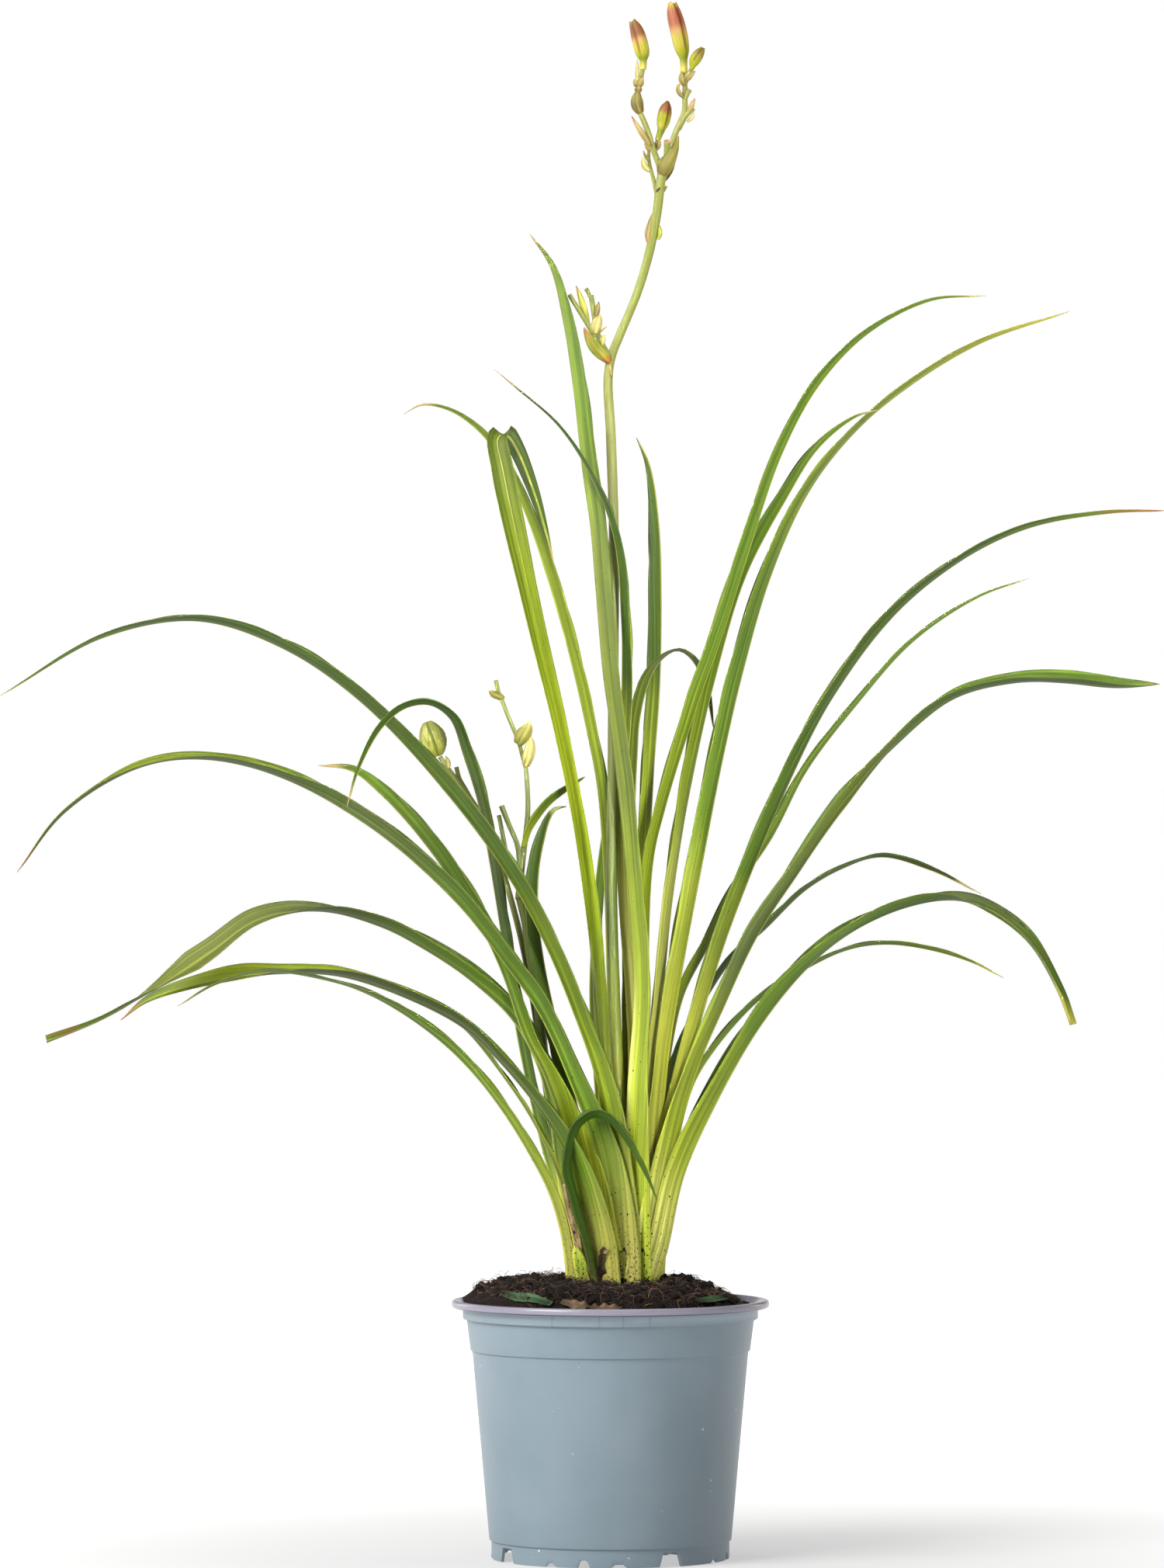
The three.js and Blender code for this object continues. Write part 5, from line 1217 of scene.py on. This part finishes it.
# For each kind its colours from base to tip, its rib, its dried tip, the share of it that has dried, and
# the colours of its underside where they differ.
BRACT_SKINS = {
    "fresh": ((BUFF, KHAKI, KHAKI, YELLOW), BUFF, RUST, 0.03),
    "blushed": ((BLUSH, YELLOW, LIME, YELLOW, BLUSH), BLUSH, RUST, 0.06,
                (BLUSH, YELLOW, FRESH, YELLOW, BLUSH)),
    # The tipped kind is painted pale in its middle, as painted light against the shadow that a leaf casts
    # on the cluster's tall bract.
    "tipped": ((LIME, YELLOW, PALE, YELLOW, RUST), PALE, RUST, 0.1),
    "pale": ((KHAKI, PAPER_PALE, PAPER_PALE, KHAKI), CREAM, STRAW, 0.03),
    "peach": ((KHAKI, PAPER, PAPER_PALE, PEACH_PAPER), PEACH_PAPER, RUST, 0.1),
    "greenish": ((SAGE, KHAKI, KHAKI, PAPER_PALE), SAGE, PAPER_PALE, 0.1),
    "papery": ((BUFF, PAPER, PAPER_PALE, PAPER), BUFF, RUST, 0.1),
    "clasping": ((PEACH_PAPER, PAPER, KHAKI, KHAKI), PAPER, KHAKI, 0.015),
    "scarred": ((SCAR, SCAR), SCAR, SCAR, 0.015),
    "brown": ((BUFF, BUFF, KHAKI, BUFF), PAPER, SCAR, 0.1),
}
skins = {}
for kind, (upper, rib, tip, dry, *under) in BRACT_SKINS.items():
    skins[kind] = leaf_blade(kind + "_bract", upper, under[0] if under else upper, tip, dry, NO_PEAT, rib,
                             foot_painted_light=1)

# For each bract the side that it faces, its half width, its kind, fold and crumpling, and its line.
BRACTS = {
    "bract_cluster_boat": (FRONT, 5.2, "blushed", 58, 0, [
        (-0.4, 5.6, 640), (-4.4, 3.6, 643.6), (-9, 2.6, 648.9), (-12.3, 3, 654.4), (-14.2, 4, 658.6)]),
    "bract_cluster_tall": (FRONT, 2.8, "tipped", 66, 0, [
        (-11.9, 7.4, 659.8), (-13.5, 8, 666.1), (-15, 8, 671.6), (-16.9, 8, 677.4), (-18.4, 8, 681.2)]),
    "bract_cluster_pale": (FRONT, 4.6, "pale", 62, 0.5, [
        (-8.1, 6.6, 655.6), (-7.3, 5.4, 660.3), (-5.4, 5.4, 665.6)]),
    "bract_cluster_small": (FRONT, 2.4, "brown", 60, 0, [
        (-7.7, 8.2, 664.6), (-6.9, 7.4, 668.8), (-6.2, 7.4, 672.6)]),
    "bract_cluster_spike": (FRONT, 0.9, "papery", 60, 0, [
        (-6.5, 7.2, 655.4), (-4.4, 6.4, 657.3), (-1.9, 6.2, 659.2)]),
    "bract_cluster_low": (FRONT, 2.4, "pale", 60, 0, [(-4.6, 7.2, 649.4), (-4, 6, 652.5), (-3.1, 6, 655)]),
    "bract_stem_peel": (FRONT, 1.2, "papery", 70, 0, [
        (0.4, 7, 632.5), (-0.2, 6.8, 637.1), (-0.8, 6.9, 641)]),
    "bract_stem_left": (FRONT, 2.9, "clasping", 52, 0, [
        (20.3, 2.6, 704.4), (20, 2, 708.6), (21.2, 2.2, 713.6), (22.9, 2.8, 720.4)]),
    "bract_stem_right": (FRONT, 2.7, "tipped", 42, 0, [
        (25.6, 3.4, 705.6), (26.5, 3, 709.6), (25.6, 3.4, 714.4)]),
    "bract_stem_scar": (FRONT, 1.2, "scarred", 40, 0, [
        (24.6, -0.3, 731), (25.5, -0.7, 732.1), (26.6, -0.7, 733.2)]),
    "bract_fork_boat": (FRONT, 5.4, "fresh", 58, 0.2, [
        (27.6, -0.6, 740.4), (29.9, -1.8, 745.4), (32.9, -2, 750.7), (34.8, -0.8, 755), (36.6, 1.2, 761)]),
    "bract_fork_back": (BACK, 5.6, "fresh", 64, 0.2, [(28, 6.8, 738), (31, 9, 746), (33.4, 9.6, 754)]),
    "bract_strand_curl": (FRONT, 2.7, "pale", 62, 0.6, [
        (21.2, 4.4, 742.6), (18.4, 3.8, 744.9), (17.3, 3.8, 750)]),
    "bract_strand_hook": (FRONT, 1.3, "fresh", 60, 0, [
        (21, 5, 747.4), (18.9, 4.4, 750.4), (17.6, 4.4, 753.4)]),
    "bract_strand_scrap": (FRONT, 2, "papery", 62, 0.7, [
        (21.4, 5, 753), (19.7, 4.4, 755.4), (18.3, 4.4, 757.4)]),
    "bract_neck_scrap": (FRONT, 2.4, "papery", 62, 0.7, [
        (24, 6, 753.6), (25.7, 5.6, 756.4), (26.4, 5.6, 760)]),
    "bract_left_long": (FRONT, 2.5, "peach", 60, 0, [
        (21, 1.6, 756.1), (17.2, 1, 761.9), (13.9, 1, 767.3), (11.3, 1, 771.6)]),
    "bract_left_bulge": (FRONT, 5.2, "brown", 62, 0.3, [
        (16, 2.4, 773.6), (14.6, 1.6, 777), (14.2, 2, 781), (14.9, 3.2, 786.2)]),
    "bract_left_bulge_back": (BACK, 5, "brown", 62, 0.3, [
        (16, 5.8, 773.6), (14.6, 6.8, 777), (14.2, 6.4, 781), (14.9, 5.4, 786)]),
    "bract_left_node": (FRONT, 3, "brown", 70, 0.2, [
        (14.8, 3, 784.4), (15, 2.6, 786.6), (15.3, 2.8, 788.6)]),
    "bract_left_crumple": (FRONT, 4.4, "papery", 66, 1.1, [
        (14.4, 3.2, 787.2), (15.4, 2.4, 790.4), (17.4, 2.4, 793.2)]),
    "bract_left_strip": (FRONT, 1.8, "pale", 60, 0.4, [
        (15.1, 4, 789), (14.3, 3.4, 795), (14.4, 3.4, 802.4)]),
    "bract_right_cream": (FRONT, 2.5, "peach", 60, 0.2, [
        (41.6, 5, 773), (43.4, 4.4, 777.4), (45.3, 4.4, 781.4)]),
    "bract_right_low": (FRONT, 1.7, "pale", 60, 0.3, [
        (41.2, 5, 768.8), (43.3, 4.2, 770.6), (44.9, 4, 774)]),
    "bract_right_curl": (FRONT, 1.9, "papery", 62, 0.5, [
        (39.2, 6.4, 782), (36.8, 5.4, 784.6), (36.2, 5.2, 787.6), (38, 5.6, 789.8)]),
    "bract_right_top": (FRONT, 3, "papery", 62, 0.8, [(40, 6, 790.6), (42.4, 5, 793.6), (45.5, 5, 796)]),
    "bract_right_neck": (FRONT, 2.5, "papery", 62, 0.8, [
        (39.4, 6, 788.6), (38, 5.2, 792), (38.3, 5.2, 796)]),
    "bract_second_bulge": (FRONT, 4.9, "pale", 64, 0, [
        (-45.6, 20.8, 423.6), (-43.9, 19.4, 429.9), (-42.9, 19.2, 435.7), (-43.2, 19.8, 440.4)]),
    "bract_second_bulge_back": (BACK, 4.3, "pale", 64, 0, [
        (-45.6, 23.4, 423.6), (-43.9, 24.4, 429.9), (-42.9, 24.4, 435.7), (-43.2, 23.8, 440)]),
    "bract_second_hood": (FRONT, 6, "greenish", 66, 0.3, [
        (-49.6, 19.8, 435.4), (-47, 18.4, 440.2), (-44.8, 18.2, 443.6), (-43.4, 18.4, 448)]),
    "bract_second_top": (FRONT, 3.4, "greenish", 64, 0.3, [
        (-57.4, 19.4, 459.6), (-60.5, 18.4, 461.2), (-63.2, 18, 462.6), (-65.4, 18, 465)]),
    "bract_third_stem": (FRONT, 2, "pale", 62, 0, [
        (-87.2, 31.6, 422.6), (-87.4, 30.6, 425.7), (-88.6, 30.4, 429.2)]),
}
for name, (leans, half_width, kind, fold, wave, line) in BRACTS.items():
    mesh = blade_mesh(name, leans, half_width, line, (fold,), wave=wave, waves=2, spacing=0.6,
                      width_at=fork_boat if name == "bract_fork_boat" else boat,
                      thickness=(0.45, 0.25), bow=0.12)
    add_piece(name, mesh, skins[kind])

# A small leafy bract still stands on the second stem and bends out to the right.
mesh = blade_mesh("leafy_bract", RIGHT, 5.4, [(-46.8, 22, 380), (-44, 20, 390), (-38, 18, 399.5),
                                              (-32, 17, 406), (-23.5, 16, 412), (-13.5, 16, 418)],
                  (40, 40, 46, 56), wave=0, spacing=1.5)
tissue = leaf_blade("leafy_bract_tissue", (LIME, FRESH, GRASS), (LIME, GRASS, MID), dirty=NO_PEAT,
                    foot_painted_light=1)
add_piece("leafy_bract", mesh, tissue)

# ---- Flower buds -------------------------------------------------------------------------------------
# Four closed buds. Three thick waxy outer petals meet along grooves and part a little at the tip. They
# ripen from lime green through yellow to pinkish red.

BUD_SIDES = 72
BUD_RINGS = 60
BUD_NECK = "#B9B04B"
BUD_SHOULDER = "#66780A"
BUD_LIME = "#92940C"
BUD_YELLOW = "#AFA63A"
BUD_PEACH = "#B89156"
BUD_BLUSH = "#9C5A3E"
BUD_RUSSET = "#85552C"
BUD_OLIVE = "#827230"
GROOVE = "#96603C"
PETAL_STOPS = [(0.35, "#D0CCC0"), (0.6, WHITE)]


def bud_mesh(name, line, profile, spin, tip_open):
    """A closed bud. The profile gives its radius at places from 0, its neck, to 1, its tip, and spin turns
    its grooves. Each groove shows a strip of the inner petal between its two dark lines."""
    middle, way, gone = smooth_line(line, sum(math.dist(a, b) for a, b in zip(line, line[1:])) / BUD_RINGS)
    shares = gone / gone[-1]
    sizes = np.interp(shares, *zip(*profile))
    sizes = np.convolve(np.pad(sizes, 2, "edge"), np.full(5, 0.2), "valid")
    rings = [(k, 1, 0) for k in range(len(gone))] + [(len(gone) - 1, 0.6, -0.7)]
    points, share = [], []
    front = carried_sides(way)
    side = np.cross(way, front)
    for k, shrink, sunk in rings:
        t = shares[k]
        deep = 0.16 * smoothstep(t, 0.2, 0.5) + tip_open * smoothstep(t, 0.8, 1)
        for i in range(BUD_SIDES):
            angle = 2 * math.pi * i / BUD_SIDES
            petal = angle - math.radians(spin)
            from_seam = abs((math.degrees(petal) - 60) % 120 - 60) / 60
            seam = math.exp(-((1 - from_seam) / 0.15) ** 2) - 0.8 * math.exp(-((1 - from_seam) / 0.07) ** 2)
            r = sizes[k] * shrink * (1 + 0.035 * math.cos(3 * petal) - deep * seam)
            rise = sunk + 0.22 * sizes[k] * math.cos(3 * petal) * smoothstep(t, 0.9, 1)
            outward = front[k] * r * math.cos(angle) + side[k] * r * math.sin(angle)
            points.append(middle[k] + outward + way[k] * rise)
            share.append((max(seam, 0) * smoothstep(t, 0.2, 0.4), t, angle))
    mesh = mesh_from(name, points, tube_faces(len(rings), BUD_SIDES))
    add_attribute(mesh, "share", share)
    return mesh


def bud_skin(name, colours, groove=GROOVE):
    """Waxy petal: IOR 1.42, fine streaks along it and darker grooves."""
    material, add = new_material(name)
    share = add("Attribute", attribute_name="share").outputs["Vector"]
    streaks = stretched_noise(add, share, (0, 3, 16), 4)
    share = add("SeparateXYZ", (share,)).outputs
    drift = add("MapRange", (streaks, 0.3, 0.7, -0.06, 0.06))
    place = add("Math", (share["Y"], drift), operation="ADD")
    skin = add("ValToRGB", (place,), stops=even_stops(colours))
    streaked = add("ValToRGB", (streaks,), stops=PETAL_STOPS)
    grooved = add("Math", (share["X"], 1.7), operation="MULTIPLY", use_clamp=True)
    grooved = add("Mix", (grooved, WHITE, groove), data_type="RGBA")
    for pattern in (streaked, grooved):
        skin = add("Mix", (1, skin, pattern), data_type="RGBA", blend_type="MULTIPLY")
    relief = add("Bump", {"Height": streaks, "Distance": 0.2 * MM, "Strength": 0.5})
    shader = add("BsdfPrincipled",
                 {"Base Color": skin, "Roughness": 0.42, "IOR": 1.42, "Specular IOR Level": 0.35,
                  "Normal": relief})
    add("OutputMaterial", (shader,))
    return material


# For each bud its line, its radius at shares of its length, its spin, how far its tip opens, its colours.
BUDS = {
    "bud_left": (
        [(17.5, 4.5, 796.9), (17.7, 4.5, 802.5), (17.2, 4.5, 806.7), (16, 4.5, 811.7), (14.3, 4.5, 817.5),
         (11.9, 4.5, 823)],
        ((0, 1.9), (0.2, 2), (0.24, 3.1), (0.32, 3.9), (0.48, 4.2), (0.65, 4.1), (0.8, 3.6), (0.92, 2.8),
         (1, 1.7)), -27, 0.1,
        (BUD_NECK, BUD_NECK, BUD_SHOULDER, BUD_LIME, BUD_YELLOW, BUD_YELLOW, BUD_PEACH, BUD_RUSSET,
         BUD_RUSSET, BUD_RUSSET, BUD_OLIVE)),
    "bud_middle": (
        [(25.3, 7.8, 759.2), (26, 8, 761.2), (27.1, 8, 764.5), (28.1, 8, 768.7), (29.1, 8, 773.7),
         (30.7, 8, 780.3)],
        ((0, 1.5), (0.2, 1.8), (0.3, 2.2), (0.38, 3.1), (0.52, 3.7), (0.7, 3.75), (0.85, 3), (0.95, 1.6),
         (1, 0.5)), 35, 0,
        (BUD_NECK, BUD_LIME, BUD_SHOULDER, BUD_YELLOW, BUD_LIME, BUD_LIME, BUD_RUSSET, BUD_RUSSET,
         BUD_RUSSET)),
    "bud_right_large": (
        [(39.4, 8, 795.3), (39.3, 8, 799.5), (39.1, 8, 804.1), (38.1, 8, 809.5), (36.4, 8, 817.8),
         (34.1, 8, 827), (33, 8, 832.8)],
        ((0, 2), (0.21, 2.05), (0.25, 3), (0.33, 3.9), (0.45, 4.4), (0.65, 4.5), (0.78, 4.3), (0.9, 3.6),
         (1, 2.2)), 37, 0.25,
        (BUD_NECK, BUD_NECK, BUD_SHOULDER, BUD_LIME, BUD_YELLOW, BUD_YELLOW, BUD_PEACH, BUD_BLUSH,
         BUD_BLUSH, BUD_BLUSH, BUD_YELLOW)),
    "bud_right_small": (
        [(43.5, 5.2, 797), (44.9, 5, 801), (47.2, 4.8, 804.8), (49.8, 4.6, 808.4)],
        ((0, 1.3), (0.1, 1.5), (0.3, 2.8), (0.5, 3.15), (0.7, 2.9), (0.88, 2.1), (1, 1.1)), -10, 0.1,
        (BUD_LIME, BUD_LIME, BUD_LIME, BUD_OLIVE, BUD_OLIVE)),
}
for node, (line, profile, spin, tip_open, colours) in BUDS.items():
    mesh = bud_mesh(node, line, profile, spin, tip_open)
    add_piece(node + "_closed", mesh, bud_skin(node + "_petals", colours), node)

# ---- Seed capsule ------------------------------------------------------------------------------------
# One green seed capsule on the third stem, swollen into three lobes, leathery and finely wrinkled.

CAPSULE_FOOT = np.array([-92.4, 31.8, 429.2])
CAPSULE_TOP = np.array([-98.8, 30, 447.4])
CAPSULE_RADIUS = 7.2
CAPSULE_GREEN = "#979A42"
CAPSULE_PALE = "#A6A958"
CAPSULE_SHADE = "#808630"
CAPSULE_GROOVE = "#BEC29E"
CAPSULE_SIDES = 120
CAPSULE_RINGS = 60
axis = CAPSULE_TOP - CAPSULE_FOOT
side = np.cross((0, 1, 0), axis)
side = side / np.linalg.norm(side)
front = np.cross(axis, side) / np.linalg.norm(axis)
points, share = [], []
for ring in range(CAPSULE_RINGS + 1):
    t = ring / CAPSULE_RINGS
    swell = math.sin(math.pi * (0.05 + 0.9 * t)) ** 0.62
    for k in range(CAPSULE_SIDES):
        angle = 2 * math.pi * k / CAPSULE_SIDES
        from_groove = abs((math.degrees(angle) - 60) % 120 - 60) / 60
        groove = math.exp(-((1 - from_groove) / 0.12) ** 2) + 0.5 * math.exp(-(from_groove / 0.12) ** 2)
        wrinkle = noise.noise(Vector((4 * math.cos(angle), 4 * math.sin(angle), 16 * t)))
        r = CAPSULE_RADIUS * swell * (1 + 0.07 * math.cos(3 * angle) - 0.1 * groove + 0.03 * wrinkle)
        points.append(CAPSULE_FOOT + axis * t + side * r * math.sin(angle) + front * r * math.cos(angle))
        share.append((groove, t, angle))
mesh = mesh_from("seed_capsule", points, tube_faces(CAPSULE_RINGS + 1, CAPSULE_SIDES))
add_attribute(mesh, "share", share)
greens = (CAPSULE_SHADE, CAPSULE_GREEN, CAPSULE_PALE, CAPSULE_GREEN)
leathery = bud_skin("leathery_capsule", greens, CAPSULE_GROOVE)
add_piece("seed_capsule_lobed", mesh, leathery, "seed_capsule")

# ---- Cut leaves --------------------------------------------------------------------------------------
# Strips of cut leaf that fell on the peat just inside the rim. Two are still green, and one has dried and
# crumpled.

CUT_GREEN = "#4A6E50"
CUT_DARK = "#141A10"
CUT_TAN = "#4E3A2E"
CUT_PINK = "#8A6C5A"


def fallen(radius, start, end, lift):
    """A line that follows the rim a little above the heap, from one bearing from the front to another."""
    line = []
    for t in (0, 0.33, 0.67, 1):
        angle = math.radians(start + (end - start) * t)
        x, y = radius * math.sin(angle), -radius * math.cos(angle)
        line.append((x, y, max(soil_height(x, y), soil_height(0.94 * x, 0.94 * y)) + lift))
    return line


for node, line, half_width, slot, turn, wave, colours in (
    ("cut_leaf_front", fallen(72, -53, -26, 0.4), 3, "dark_leaf", (42, 50, 40), 0.2,
     (CUT_DARK, CUT_GREEN, CUT_GREEN, CUT_DARK)),
    ("cut_leaf_right", fallen(66, 44, 68, 1), 3.4, "dark_leaf", (20, 30), 0.2,
     (CUT_DARK, CUT_GREEN, CUT_DARK)),
    ("cut_leaf_dry", fallen(70, -22, 5, 0.4), 3, "dry_leaf", (30, 60, 10, 50, 20), 1.1,
     (CUT_TAN, CUT_PINK, CUT_TAN, CUT_PINK, CUT_TAN)),
):
    grow_leaf(node, RIGHT, half_width, upper=colours, under=colours, slot=slot, line=line, fold=(76,),
              turn=turn, wave=wave, waves=6, spacing=0.8,
              width_at=lambda t: 0.7 + 0.3 * np.sin(math.pi * t),
              look={"dirty": NO_PEAT, "rib": colours[0], "tip": colours[2], "foot_painted_light": 1})
